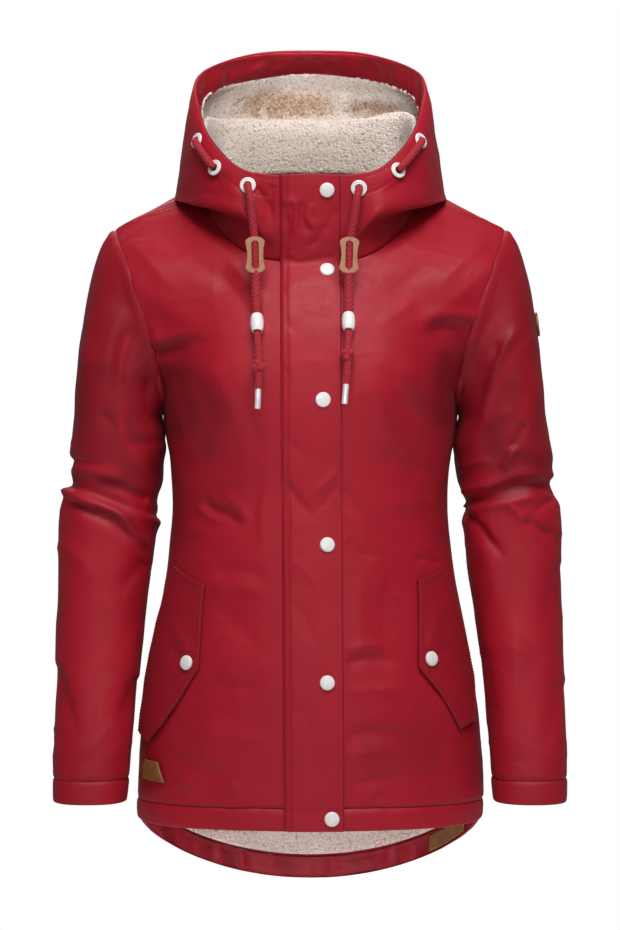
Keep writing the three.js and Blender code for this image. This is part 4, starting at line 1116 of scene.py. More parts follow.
# ------------------------------------------------------------------ sleeves
SLEEVE_RIGHT_FOLDS = [  # on the photo's left
    [[(48, 486), (60, 491), (82, 502), (104, 509), (119, 517), (129, 529), (141, 542), (154, 550)], 2.3, 3.6, 1.3, (0.02, 0.2)],
    [[(66, 500), (88, 511), (108, 519), (122, 530), (134, 545)], -2.0, 4.2, 0, (0.1, 0.3)],
    [[(60, 480), (96, 494), (128, 506), (164, 517)], -2.0, 3.8, 0, (0.05, 0)],
    [[(68, 468), (104, 476), (134, 482)], 1.9, 4.6, 0.6, (0.05, 0.4)],
    [[(88, 481), (118, 489), (150, 501)], -1.7, 3.6, 0, (0.3, 0.05)],
    [[(50, 461), (68, 463), (84, 466), (108, 471)], -2.6, 4.6, 0, (0, 0.6)],
    [[(170, 524), (158, 522), (140, 512), (118, 500)], 1.5, 4.0, 0, (0, 0.5)],
    [[(150, 560), (134, 578), (118, 600)], -1.5, 7.0, 0.6, (0.15, 0.5)],
    [[(58, 540), (80, 560), (100, 590)], 1.1, 7.0, 0, (0.1, 0.6)],
    [[(57, 660), (68, 700), (82, 744)], -1.1, 5.5, 0.4, (0.1, 0.5)],
    [[(137, 674), (126, 700), (113, 730)], -1.1, 5.5, -0.4, (0.1, 0.5)],
    [[(140, 322), (125, 349), (121, 382), (125, 412)], -1.7, 5.5, 0.7, (0.2, 0.4)],
    [[(128, 300), (112, 340), (106, 390)], 1.3, 8.0, 0, (0.3, 0.4)],
    [[(94, 408), (110, 420), (122, 436)], -1.1, 5.0, 0.4, (0.3, 0.4)],
    [[(152, 372), (146, 400), (150, 436)], -1.3, 5.0, 0, (0.2, 0.3)],
    [[(84, 330), (78, 380), (76, 430)], 0.9, 9.0, 0, (0.3, 0.4)],
    [[(168, 440), (140, 444), (112, 440)], -1.3, 6.0, 0, (0.05, 0.6)],
    [[(66, 600), (60, 640), (64, 690)], 0.8, 8.0, 0, (0.3, 0.4)],
    [[(140, 620), (132, 650), (136, 700)], 0.9, 6.0, 0, (0.3, 0.4)],
    [[(60, 770), (80, 760), (104, 764)], -0.7, 5.0, 0, (0.2, 0.6)],
]
SLEEVE_LEFT_FOLDS = [
    [[(459, 503), (487, 496), (513, 487), (538, 484), (553, 489), (556, 497), (545, 505), (528, 517)], -2.4, 3.8, 0, (0.02, 0.2)],
    [[(459, 494), (488, 486), (514, 477), (540, 474), (558, 480)], 2.2, 4.4, 0.6, (0.05, 0.1)],
    [[(462, 512), (492, 506), (520, 500), (542, 496)], 1.9, 3.6, 0, (0.1, 0.2)],
    [[(460, 507), (480, 527), (509, 562)], -2.0, 3.8, 0.5, (0.02, 0.4)],
    [[(506, 504), (518, 512), (526, 521)], 1.7, 3.0, 0, (0.3, 0.2)],
    [[(526, 520), (536, 528), (556, 534)], -1.5, 3.4, 0, (0.1, 0.1)],
    [[(516, 446), (508, 458), (497, 470)], 2.0, 4.0, 0.8, (0.2, 0.3)],
    [[(530, 421), (522, 438), (508, 456)], -1.7, 4.5, 0.6, (0.2, 0.4)],
    [[(457, 470), (478, 462), (500, 470)], 1.4, 5.0, 0, (0.05, 0.4)],
    [[(518, 322), (500, 352), (487, 396), (481, 428)], 1.7, 6.0, 0.9, (0.2, 0.3)],
    [[(500, 300), (482, 340), (470, 390)], -1.5, 7.0, 0, (0.3, 0.3)],
    [[(483, 433), (500, 416), (524, 409)], 1.3, 6.0, 0, (0.3, 0.4)],
    [[(494, 340), (498, 350), (494, 360)], -0.9, 3.0, 0.4, (0.3, 0.3)],
    [[(545, 330), (548, 370), (546, 420)], 0.9, 8.0, 0, (0.3, 0.4)],
    [[(476, 540), (492, 572), (500, 620)], 1.0, 8.0, 0, (0.2, 0.5)],
    [[(562, 560), (552, 600), (540, 640)], -1.1, 7.0, 0.4, (0.1, 0.5)],
    [[(484, 640), (490, 690), (500, 740)], -0.9, 6.0, 0, (0.2, 0.5)],
    [[(564, 680), (556, 720), (546, 760)], -1.0, 6.0, 0.4, (0.1, 0.5)],
    [[(512, 600), (516, 660), (512, 720)], 0.8, 8.0, 0, (0.3, 0.4)],
    [[(496, 768), (516, 760), (540, 766)], -0.7, 5.0, 0, (0.2, 0.5)],
]


# painted shade along the folds where the amount is above 0, painted highlight where it is below
SLEEVE_RIGHT_SHADE = [  # tone along the folds: dark above 0, light below
    [[(124, 400), (122, 426), (128, 440), (140, 460), (156, 484)], -0.55, 3.5, (0.1, 0.2)],
    [[(134, 404), (131, 426), (142, 448)], 0.35, 5, (0.2, 0.3)],
    [[(62, 460), (100, 470), (134, 474)], -0.55, 5, (0, 0.3)],
    [[(92, 481), (120, 484), (156, 497)], 0.6, 3, (0.2, 0)],
    [[(66, 504), (100, 511), (124, 519), (144, 541)], 0.9, 3.5, (0.05, 0.2)],
    [[(126, 519), (144, 521), (160, 526)], 0.6, 4, (0.1, 0)],
    [[(96, 300), (92, 340), (94, 380)], -0.35, 7, (0.3, 0.3)],
    [[(136, 318), (126, 346), (122, 380)], -0.3, 4, (0.3, 0.3)],
    [[(148, 330), (142, 366), (148, 402)], 0.4, 5, (0.3, 0.3)],
    [[(56, 660), (68, 700), (84, 744)], 0.45, 4, (0.1, 0.4)],
    [[(140, 674), (128, 700), (114, 730)], 0.45, 4, (0.1, 0.4)],
    [[(150, 562), (136, 580), (122, 600)], 0.4, 6, (0.1, 0.4)],
]
SLEEVE_LEFT_SHADE = [
    [[(534, 326), (509, 363), (490, 405), (482, 434)], -0.6, 4, (0.2, 0.1)],
    [[(520, 322), (498, 360), (480, 400), (474, 430)], 0.4, 4, (0.2, 0.3)],
    [[(538, 349), (532, 391), (521, 413), (504, 447)], -0.6, 8, (0.2, 0.2)],
    [[(487, 442), (500, 458), (523, 454), (552, 474)], 0.5, 5, (0.1, 0.2)],
    [[(458, 500), (476, 506), (509, 493), (552, 486)], 0.9, 3.5, (0, 0.1)],
    [[(532, 516), (540, 526), (560, 536)], 0.7, 3, (0.1, 0)],
    [[(462, 512), (480, 528), (508, 560)], 0.5, 4, (0.05, 0.4)],
    [[(458, 476), (480, 470), (500, 474)], -0.4, 4, (0.05, 0.3)],
    [[(476, 330), (470, 370), (466, 420)], 0.3, 5, (0.2, 0.3)],
    [[(566, 560), (554, 600), (542, 640)], 0.4, 6, (0.1, 0.4)],
    [[(484, 640), (490, 690), (500, 740)], 0.35, 5, (0.2, 0.4)],
]


def tube(r0, r1, step, fine=(True, True)):
    rr = lambda r, a: sleeve(r, np.full_like(r, a))
    aa = lambda a, r: sleeve(np.full_like(a, r), a)
    around = marks(length_of(aa, 0, 1, 4.0), step, wrap=True)
    rs, _ = spread(rr, r0, r1, marks(length_of(rr, r0, r1, 0.3), step, fine), 0.3)
    a, _ = spread(aa, 0, 1, around, 4.0)
    return sleeve(*np.meshgrid(rs[::-1], a, indexing="ij"))


def shaped_sleeve(side):
    grid = tube(-1, 12, 2.3)
    if side < 0:
        grid = mirrored(grid)
    # the sleeve head is lifted with the shoulder tip
    e = grid[-1]
    tip = int(np.argmax(e[:, 2]))
    step = np.linalg.norm(np.roll(e, -1, 0) - e, axis=1)
    run = np.concatenate([[0], np.cumsum(np.roll(step, -tip))[:-1]])
    run = np.roll(np.minimum(run, step.sum() - run), tip)
    down = arcs(grid, True)["top"]
    grid[..., 2] += TIP * np.exp(-((run / TIP_REACH) ** 2)) * np.exp(-((down / 30) ** 2))
    # the ridge down from the shoulder tip is rounded off
    soft = (0.5 * np.exp(-((down / 60) ** 2)) * smooth(down, 3, 12))[..., None]
    for _ in range(26):
        grid = grid + soft * ((np.roll(grid, 1, 1) + np.roll(grid, -1, 1)) / 2 - grid)
    full = 1.9 * np.exp(-((run / 34) ** 2)) * smooth(down, 0, 7) * np.exp(-((down / 42) ** 2))
    grid = grid + full[..., None] * normals(grid, True)
    # it is tucked in under the edge of the armhole
    d = arcs(grid, True)["top"][..., None]
    into = np.gradient(grid, axis=0)[-4:-3]
    into = into / np.linalg.norm(into, axis=-1, keepdims=True)
    grid = grid + (2.6 * into - 1.5 * normals(grid, True)) * np.exp(-((d / 1.9) ** 2))
    s = Sheet(grid, 1.8, wrap=True)
    front = s.facing
    s.facing = smooth(-s.n[..., 1], -0.75, -0.1)  # the folds reach round to the silhouette
    s.folds(SLEEVE_LEFT_FOLDS if side > 0 else SLEEVE_RIGHT_FOLDS, 2.1)
    s.facing = front
    z = grid[..., 2]
    rear = 1 - s.facing
    s.h += smooth(-s.n[..., 1], -0.9, 0.7) * (3.5 * np.exp(-(((z + 130) / 55) ** 2)) - 5.0 * np.exp(-(((z + 255) / 55) ** 2)))
    inward = smooth(-s.n[..., 0] * side, 0.35, 0.95)
    s.h += 5.6 * inward * np.exp(-(((z + 230) / 42) ** 4))
    y = s.px[..., 1]
    # painted shade on the front of the upper sleeve and towards the cuff, then along the folds
    s.tone = 0.75 * smooth(-s.n[..., 1], -0.8, 0.3) * smooth(y, 212, 300) * (1 - smooth(y, 462, 505)) * (0.9 + 0.25 * noise(grid, 60, 49))
    s.tone += 0.3 * s.facing * smooth(y, 690, 780)
    s.shade(SLEEVE_LEFT_SHADE if side > 0 else SLEEVE_RIGHT_SHADE)
    s.h += rear * 1.6 * np.sin(z / 8.0 + 1.2 * noise(grid, 40, 41)) * np.exp(-(((z + 300) / 70) ** 2))
    s.h += 0.8 * noise(grid * [1, 1, 0.5], 46, 42 + side) + 0.35 * noise(grid * [1, 1, 0.7], 20, 43 + side)
    s.h += 1.5 * creases(grid, 38, 170 + side, 1.1) + 0.7 * creases(grid, 20, 180 + side, 0.5) - 0.5
    s.h += 0.5 * smooth(s.d["top"], 1, 10) * np.exp(-((s.d["top"] / 26) ** 2))  # ease in the sleeve head
    # painted shade along the armhole seam
    s.line("top", 1.0, 0.9, 1.0)
    s.h += 0.5 * np.exp(-(((s.d["top"] - 3.4) / 1.5) ** 2))
    s.seam("bottom", depth=1.5, width=1.8)
    s.pucker("top", 0.55, 9, 13, seed=44)
    s.pucker("bottom", 0.45, 8, 10, seed=45)
    s.topstitch("bottom", 2.2, 0.25)
    name = "left" if side > 0 else "right"
    s.declare(s.make("cloth_sleeve_" + name, RED, "shell", ["sleeve_" + name]))
    g = tube(12, 13, 2.3)
    if side < 0:
        g = mirrored(g)
    c = Sheet(g, 4.0, wrap=True)
    c.h += 0.4 * smooth(c.d["bottom"], 0, 7) + 0.4 * noise(g, 22, 46) - 0.2
    c.seam("top", depth=2.0, width=2.0)
    # painted shade over the whole cuff band, more along its seam
    c.tone = 0.3 + 0 * c.h
    c.line("top", 0.0, 0.9, 1.0)
    c.pucker("top", 0.5, 8, 9, seed=47)
    c.pucker("bottom", 0.35, 11, 8, seed=48)
    c.free("bottom", radius=2.0)
    c.declare(c.make("cuff_band_" + name, RED, "shell", ["cuff_" + name]))
    return s


sleeve_l = shaped_sleeve(1)
sleeve_r = shaped_sleeve(-1)


# ------------------------------------------------------------------ hood
HOOD_RIGHT_FOLDS = [  # on the photo's left
    [[(196, 150), (214, 176), (240, 196)], -1.0, 5, 0.4, (0.2, 0.4)],
    [[(186, 190), (214, 200), (244, 206)], 1.1, 6, 0, (0.2, 0.4)],
    [[(204, 120), (212, 140), (226, 158)], 0.7, 5, 0, (0.2, 0.4)],
    [[(190, 120), (188, 150), (183, 190)], -0.8, 6, 0, (0.2, 0.4)],
    [[(256, 186), (266, 200), (271, 216)], -1.3, 2.6, 0.3, (0.1, 0.4)],
    [[(250, 194), (258, 210), (268, 226)], 1.2, 2.8, 0, (0.1, 0.4)],
    [[(246, 206), (254, 222), (262, 238)], -1.2, 2.6, 0, (0.1, 0.4)],
    [[(274, 184), (271, 204), (273, 228)], -1.1, 2.4, 0.4, (0.1, 0.4)],
    [[(214, 178), (230, 190), (250, 196)], 0.8, 3.4, 0, (0.2, 0.4)],
    [[(180, 196), (206, 194), (236, 202)], -0.8, 3.6, 0, (0.2, 0.4)],
]
HOOD_LEFT_FOLDS = [
    [[(424, 150), (404, 178), (376, 198)], -1.0, 5, -0.4, (0.2, 0.4)],
    [[(436, 190), (408, 200), (376, 206)], 1.1, 6, 0, (0.2, 0.4)],
    [[(414, 120), (404, 142), (390, 158)], 0.7, 5, 0, (0.2, 0.4)],
    [[(430, 122), (432, 150), (438, 190)], -0.8, 6, 0, (0.2, 0.4)],
]


def hood_grid(s0, s1, step, both=False):
    ss = lambda s, l: hood(s, np.full_like(s, l))
    ll = lambda l, s: hood(np.full_like(l, s), l)
    length = length_of(ss, s0, s1, 4.0)
    if both:
        half = marks(length, step, (True, False))
        while (2 * (len(half) - 1)) % 3:
            half = np.insert(half, len(half) // 2, (half[len(half) // 2 - 1] + half[len(half) // 2]) / 2)
    else:
        half = marks(length, step)
    s, _ = spread(ss, s0, s1, half, 4.0)
    l, _ = spread(ll, 0, 6, marks(length_of(ll, 0, 6, 3.0), step), 3.0)
    grid = hood(s[None, :], l[:, None])
    if both:
        grid = np.concatenate([grid, (grid * MIRROR)[:, ::-1][:, 1:]], 1)
    return grid, s, l


def shaped_hood(side):
    grid, ss, ll = hood_grid(0, 7, 2.1)
    if side < 0:
        grid = mirrored(grid)
        ss = ss[::-1]
    s = Sheet(grid, 1.8)
    s.folds(HOOD_LEFT_FOLDS if side > 0 else HOOD_RIGHT_FOLDS, 1.5)
    s.h += (0.9 * noise(grid * [1, 1, 0.8], 40, 51) + 0.35 * noise(grid, 18, 52)) * smooth(s.d["top"], 0, 20)
    s.h += (1.2 * creases(grid, 34, 190 + side, 0.5) - 0.3) * smooth(s.d["top"], 4, 30)
    back = "right" if side > 0 else "left"
    s.seam(back, depth=0.9, width=1.6)
    s.seam("bottom", depth=1.5, width=2.0)
    where = np.broadcast_to(((ss > 0.95) & (ss < 6.6))[None, :], grid.shape[:2]).astype(float)
    s.h += 0.5 * where * np.sin(np.pi * np.clip(s.d["top"] / 23, 0, 1))
    # painted shade on the collar below the hood's overhang, and along the neckline seam
    under = (1 - smooth(ll, 1.35, 1.8))[:, None] * (smooth(ss, 1.3, 2.2) * (1 - smooth(ss, 5.4, 6.2)))[None, :]
    s.tone = 0.25 * under
    s.line("bottom")
    s.pucker("top", 0.45, 9, 6, at=23, seed=53)
    s.pucker("top", 0.3, 10, 6, at=4, seed=54)
    s.topstitch("top", 4.5, 0.3)
    s.topstitch("top", 23, 0.5, 1.0, where)
    s.topstitch(back, 3.0, 0.25)
    s.free("top", radius=1.7)
    name = "left" if side > 0 else "right"
    s.declare(s.make("cloth_hood_" + name, RED, "shell", ["hood_" + name]))
    return s


hood_l = shaped_hood(1)
hood_r = shaped_hood(-1)
grid, _, _ = hood_grid(7, 8, 3.4, both=True)
hood_c = Sheet(grid, 1.8)
hood_c.h += 1.0 * noise(grid, 44, 55) * smooth(hood_c.d["top"], 0, 20)
hood_c.seam("left", "right", depth=0.9, width=1.6)
hood_c.seam("bottom", depth=1.5, width=2.0)
hood_c.topstitch("top", 4.5, 0.3)
hood_c.topstitch("left", 3.0, 0.25)
hood_c.topstitch("right", 3.0, 0.25)
hood_c.free("top", radius=1.7)
hood_c.declare(hood_c.make("cloth_hood_centre", RED, "shell", ["hood_centre"]))


# ------------------------------------------------------------------ pile lining
def whole_row(step, lo=0.0, hi=8.0):
    ss = lambda s, l: levels(LINING, s, np.full_like(s, l))
    half = marks(length_of(ss, lo, hi, 3.5), step, (True, False))
    while (2 * (len(half) - 1)) % 3:
        half = np.insert(half, len(half) // 2, (half[len(half) // 2 - 1] + half[len(half) // 2]) / 2)
    return spread(ss, lo, hi, half, 3.5)[0]


def closed_grid(half):
    return np.concatenate([half, (half * MIRROR)[:, ::-1][:, 1:]], 1)


def clumps(p, size, seed):
    """Sherpa: rounded tufts with curls on them, 0..1."""
    warped = p + 0.35 * size * np.stack([noise(p, size * 1.3, seed + i) for i in (5, 6, 7)], -1)
    near, second = cells(warped, size, seed)
    a = np.clip(1 - near * 1.05, 0, 1) ** 0.7
    near2, second2 = cells(warped, size * 0.45, seed + 9)
    b = np.clip(1 - near2, 0, 1)
    return np.clip(0.62 * a + 0.38 * b, 0, 1)


def pile_sheet(name, grid, thick, height, size, seed, material, nodes, warm_shade=None, dim=None):
    s = Sheet(grid, thick)
    c = clumps(grid, size, seed)
    big = noise(grid, 26, seed + 20)
    s.h += height * (c - 0.35) + 1.2 * big
    edge = np.minimum(np.minimum(s.d["left"], s.d["right"]), np.minimum(s.d["bottom"], s.d["top"]))
    s.h -= 1.2 * (1 - smooth(edge, 0, 3))
    up = np.gradient(grid, axis=0)
    up /= np.maximum(np.linalg.norm(up, axis=-1, keepdims=True), 1e-9)
    tufts = (2.6 * c - 0.9) * np.exp(-((s.d["top"] / 6.0) ** 2))
    s.p = s.p + up * tufts[..., None]
    o = s.declare(s.make(name, material, "pile", nodes))
    none = np.zeros(grid.shape[:2])
    fields = {"height": 0.1 + 0.8 * c, "warm_shade": none if warm_shade is None else warm_shade(s), "dim": none if dim is None else dim(s)}
    paint(o, grid.shape[0] * grid.shape[1], **fields)
    return s, o


st = whole_row(1.5)
ll = lambda l, s: levels(LINING, np.full_like(l, s), l)
lv, _ = spread(ll, 0, 6, marks(length_of(ll, 0, 6, 7.0), 1.5, (False, True)), 7.0)
lining_grid = flipped(closed_grid(levels(LINING, st[None, :], lv[:, None])))
q = on_photo(lining_grid)
roll = np.exp(-(((q[..., 1] - 117) / 8) ** 2)) * (lining_grid[..., 1] > 0)
lift = 6.5 * smooth(q[..., 0], 352, 398) * (1 - smooth(q[..., 0], 402, 416)) - 2.0 * np.exp(-(((q[..., 0] - 300) / 50) ** 2))
lining_grid[..., 2] += roll * (lift + 1.3 * noise(lining_grid, 17, 58))


def tan_shade(s):
    """Painted warm shade of the pile in the hollow behind the collar roll."""
    x, y = s.px[..., 0], s.px[..., 1]
    rear = s.p[..., 1] > 0
    big = 1.5 * np.exp(-(((x - 284) / 50) ** 4) - (((y - 107) / 14) ** 2))
    small = 1.1 * np.exp(-(((x - 372) / 26) ** 4) - (((y - 108) / 8) ** 2))
    blot = 0.85 + 0.5 * noise(s.p, 13, 71) + 0.35 * noise(s.p, 5, 74)
    above = 1 - smooth(y, 117, 121)
    return np.clip((big + small + 0.12) * blot * above * rear, 0, 1)


def low_shade(s):
    """Painted shade: the pile is dimmer below the collar roll, and most where it turns in to the neck."""
    x, y = s.px[..., 0], s.px[..., 1]
    blot = 0.9 + 0.3 * noise(s.p, 16, 72) + 0.2 * noise(s.p, 6, 73)
    side = 1 - smooth(np.abs(x - 308), 60 - 0.2 * (y - 140), 84 - 0.5 * (y - 140))
    deep = 0.62 * smooth(y, 126, 156) * blot * side
    return np.clip((0.80 * smooth(y, 117, 121) + deep) * (s.p[..., 1] > -60), 0, 1.6)


lining, LINING_PIECE = pile_sheet(
    "pile_hood", lining_grid, 2.0, 2.5, 3.9, 60, PILE, ["hood_lining"], warm_shade=tan_shade, dim=low_shade
)

# facing of the hood, from the rim down to the pile
a = hood(st, np.full_like(st, 6.0))
toward = np.stack([-a[:, 0], -12 - a[:, 1], 0 * a[:, 0]], -1)
a = a + 2.1 * toward / np.linalg.norm(toward, axis=1, keepdims=True) - [0, 0, 0.5]
b = levels(LINING, st, np.full_like(st, 6.0))
f = marks(28, 2.0)[:, None, None]
half = b + (a - b) * f
facing = Sheet(flipped(closed_grid(half)), 1.2)
bulge = np.sin(np.pi * np.broadcast_to(f[..., 0], facing.h.shape))
facing.h += -1.5 * bulge * 1.6
facing.h += bulge * (3.4 * noise(facing.p * [1, 1, 0.35], 26, 75) + 2.4 * noise(facing.p * [1, 1, 0.5], 12, 76))
neck = 1 - smooth(facing.p[..., 1], -78, -40)
facing.h = facing.h * (1 - neck) + 1.4 * neck  # kept clear of the hood's front, where it is low
facing.h += 0.5 * np.exp(-(((facing.d["top"] - 2.4) / 1.8) ** 2))
facing.pucker("top", 0.5, 8, 4, at=6, seed=77)
facing.topstitch("top", 5.0, 0.5, 0.8)
# painted shade on the facing, darkest next to the pile
facing.tone = 1.0 * (1 - smooth(f[..., 0] * np.ones(facing.h.shape), 0.12, 0.6))
facing.free("top", radius=1.0)
facing.declare(facing.make("cloth_hood_facing", RED_FACING_SHADED, "shell", ["hood_facing"]))

# lining of the back, moved in from the back's own points
kk = lambda k, t: body(k, np.full_like(k, t), False)
low_k, _ = spread(kk, 0, 0.9, marks(length_of(kk, 0, 0.9, 0.3), 1.9, (True, False)), 0.3)
high_k = np.linspace(0.9, 4.2, 1 + 3 * 14)[1:]
ks = np.concatenate([low_k, high_k])
tt = lambda t, k: body(np.full_like(t, k), t, False)
ts, _ = spread(tt, 0, 0.97, np.linspace(0, 1, 1 + 3 * 38), 0.3)
outer = body(ks[:, None], ts[None, :], False)
outer = np.concatenate([outer[:, ::-1], (outer * MIRROR)[:, 1:]], 1)
nn = normals(outer)
grid = flipped(outer - 5.9 * nn)
grid[..., 2] += 3 * (1 - smooth(ks, 0, 0.3))[:, None]
back_pile, BACK_PILE = pile_sheet(
    "pile_back", grid, 2.0, 2.2, 4.0, 80, PILE_HEM, ["back_lining"]
)


# ------------------------------------------------------------------ placket
EDGE_LEFT, EDGE_RIGHT = (-27, -32), (35, 31)  # x at the hem and at the top


def placket_grid(step=1.5):
    def cross_edges(z):
        f = np.clip((z + 657) / 682, 0, 1)
        return (
            EDGE_LEFT[0] + (EDGE_LEFT[1] - EDGE_LEFT[0]) * f,
            EDGE_RIGHT[0] + (EDGE_RIGHT[1] - EDGE_RIGHT[0]) * f,
        )

    u = marks(64, step)
    rows = []
    for k in np.linspace(0, 8.97, 260):
        t = np.linspace(0, 0.5, 60)
        p = body(np.full_like(t, k), t, True)
        a, b = cross_edges(p[0, 2])
        x = a + (b - a) * u
        y = np.interp(np.abs(x), p[:, 0], p[:, 1])
        z = np.interp(np.abs(x), p[:, 0], p[:, 2])
        rows.append(np.stack([x, y, z], -1))
    hem = rows[0]
    down = [hem - [0, 0, 23.5 * g] for g in np.linspace(1, 0, 24)[:-1]]
    top = []
    for l in np.linspace(1, 6, 60):
        s = np.linspace(0, 1.7, 60)
        p = hood(s, np.full_like(s, l))
        a, b = cross_edges(p[0, 2])
        x = a + (b - a) * u
        y = np.interp(np.abs(x), p[:, 0], p[:, 1])
        z = np.interp(np.abs(x), p[:, 0], p[:, 2])
        top.append(np.stack([x, y, z], -1))
    g = np.array(down + rows + top)
    s = np.concatenate([[0], np.cumsum(np.linalg.norm(np.diff(g[:, len(u) // 2], axis=0), axis=1))])
    at = marks(s[-1], 2.0) * s[-1]
    even = np.linspace(0, s[-1], 700)
    flat = np.stack([[np.interp(even, s, g[:, j, c]) for c in range(3)] for j in range(len(u))], 0)
    # smooth along the length, so that the step at the neckline goes
    w = np.exp(-0.5 * (np.arange(-12, 13) / 5.0) ** 2)
    w /= w.sum()
    pad = np.concatenate([2 * flat[..., :1] - flat[..., 12:0:-1], flat, 2 * flat[..., -1:] - flat[..., -2:-14:-1]], -1)
    flat = np.stack([[np.convolve(pad[j, c], w, "valid") for c in range(3)] for j in range(len(u))], 0)
    return np.stack([[np.interp(at, even, flat[j, c]) for c in range(3)] for j in range(len(u))], 0).transpose(2, 0, 1)


PLACKET_FOLDS = [
    [[(283, 206), (290, 202), (296, 208), (295, 222), (290, 236)], 0.9, 2.8, 0.3, (0.1, 0.3)],
    [[(286, 214), (289, 226), (287, 244)], -0.7, 2.6, 0, (0.2, 0.3)],
    [[(305, 200), (302, 214), (306, 226), (314, 232)], -0.8, 2.8, 0.4, (0.2, 0.2)],
    [[(314, 202), (309, 216), (316, 226), (324, 226)], 0.7, 2.6, 0, (0.2, 0.3)],
    [[(326, 224), (320, 240), (304, 250)], -0.6, 2.8, 0.3, (0.1, 0.3)],
    [[(336, 206), (330, 222), (328, 240)], -0.6, 3.0, 0, (0.2, 0.3)],
    [[(284, 256), (300, 261), (320, 257), (339, 254)], -0.55, 3.2, 0.3, (0.05, 0.2)],
    [[(284, 292), (306, 280), (336, 276)], 0.5, 5.0, 0, (0.1, 0.3)],
    [[(286, 330), (306, 318), (338, 320)], -0.5, 6.0, 0, (0.1, 0.3)],
    [[(286, 372), (304, 362), (338, 366)], 0.5, 6.0, 0, (0.1, 0.3)],
    [[(286, 480), (300, 500), (322, 524)], -0.8, 4.0, 0.4, (0.1, 0.4)],
    [[(340, 470), (322, 486), (300, 500)], 0.8, 4.0, 0, (0.1, 0.4)],
    [[(338, 486), (326, 500), (310, 520)], -0.6, 3.5, 0, (0.1, 0.4)],
    [[(288, 440), (300, 452), (316, 460)], -0.6, 4.0, 0, (0.1, 0.4)],
    [[(290, 560), (306, 572), (324, 600)], 0.5, 5.0, 0, (0.2, 0.4)],
    [[(290, 600), (306, 620), (318, 650)], -0.5, 5.0, 0, (0.2, 0.4)],
    [[(296, 700), (308, 730), (304, 780)], -0.5, 6.0, 0, (0.2, 0.4)],
]
grid = placket_grid()
n0 = normals(grid)
u = np.clip(arcs(grid)["left"] / 12, 0, 1)
grid = grid + n0 * (1.6 + 1.9 * smooth(u))[..., None]
placket = Sheet(grid, 2.4)
placket.folds(PLACKET_FOLDS, 2.2)
placket.h += 0.35 * noise(grid * [1, 1, 0.6], 30, 91) + 0.2 * noise(grid, 13, 92)
placket.h += 0.35 * np.exp(-(((placket.d["left"] - 3.5) / 2.2) ** 2)) + 0.3 * np.exp(-(((placket.d["right"] - 2.5) / 2.0) ** 2))
placket.pucker("left", 0.3, 9, 7, seed=93)
placket.pucker("right", 0.25, 12, 7, seed=94)
placket.topstitch("left", 1.6, 0.3)
placket.topstitch("left", 7.8, 0.45)
placket.topstitch("right", 4.2, 0.35)
placket.topstitch("bottom", 23.5, 0.3)
# painted shade along the seam, the inner stitch row and the free edge
placket.line("left", 0.4, 0.9, 0.8)
placket.line("left", 7.8, 0.5, 0.7)
placket.line("right", 0.4, 0.8, 0.7)
placket.seam("left", depth=1.4, width=1.4)
placket.free("right", "bottom", "top", radius=1.2)
placket.declare(placket.make("cloth_placket", RED, "shell", ["placket"]))


# ------------------------------------------------------------------ pocket flaps, the front's own points between two edges
FLAP_RIGHT = [  # back edge row, t | front edge row, t, from the pocket mouth down
    [3.19, 0.74, 2.945, 0.478],
    [2.85, 0.8, 2.6, 0.47],
    [2.4, 0.87, 2.2, 0.455],
    [1.95, 0.9, 1.855, 0.445],
    [1.6, 0.905, 1.4, 0.544],
    [1.25, 0.905, 1.1, 0.627],
    [0.95, 0.9, 0.84, 0.744],
]
FLAP_LEFT = [
    [3.15, 0.7, 3.01, 0.5],
    [2.9, 0.76, 2.65, 0.48],
    [2.5, 0.82, 2.25, 0.455],
    [2.0, 0.875, 1.875, 0.432],
    [1.7, 0.885, 1.52, 0.534],
    [1.4, 0.85, 1.28, 0.59],
    [1.12, 0.79, 1.04, 0.643],
]


def flap_points(table, r, u, lift):
    q = np.array(table[::-1], float)
    at = np.stack([np.interp(r, np.arange(len(q)), q[:, c]) for c in range(4)], -1)
    ka, ta, kb, tb = [at[:, c][:, None] for c in range(4)]
    k, t = kb + (ka - kb) * u, tb + (ta - tb) * u
    p = body(k, t, True)
    e = 0.01
    du = body(k + e, t, True) - body(k - e, t, True)
    dv = body(k, t + e, True) - body(k, t - e, True)
    n = np.cross(dv, du)
    n /= np.linalg.norm(n, axis=-1, keepdims=True)
    return p + n * lift


def flap_grid(table, lift, step, side):
    rr = lambda r, u: flap_points(table, r, np.full((1, 1), u), lift)[:, 0]
    uu = lambda u, r: flap_points(table, np.array([r]), u[None, :], lift)[0]
    r, _ = spread(rr, 0, len(table) - 1, marks(length_of(rr, 0, len(table) - 1, 0.2), step), 0.2)
    u, _ = spread(uu, 0, 1, marks(length_of(uu, 0, 1, 3.0), step), 3.0)
    g = flap_points(table, r, u[None, :], lift)
    return mirrored(g) if side < 0 else g


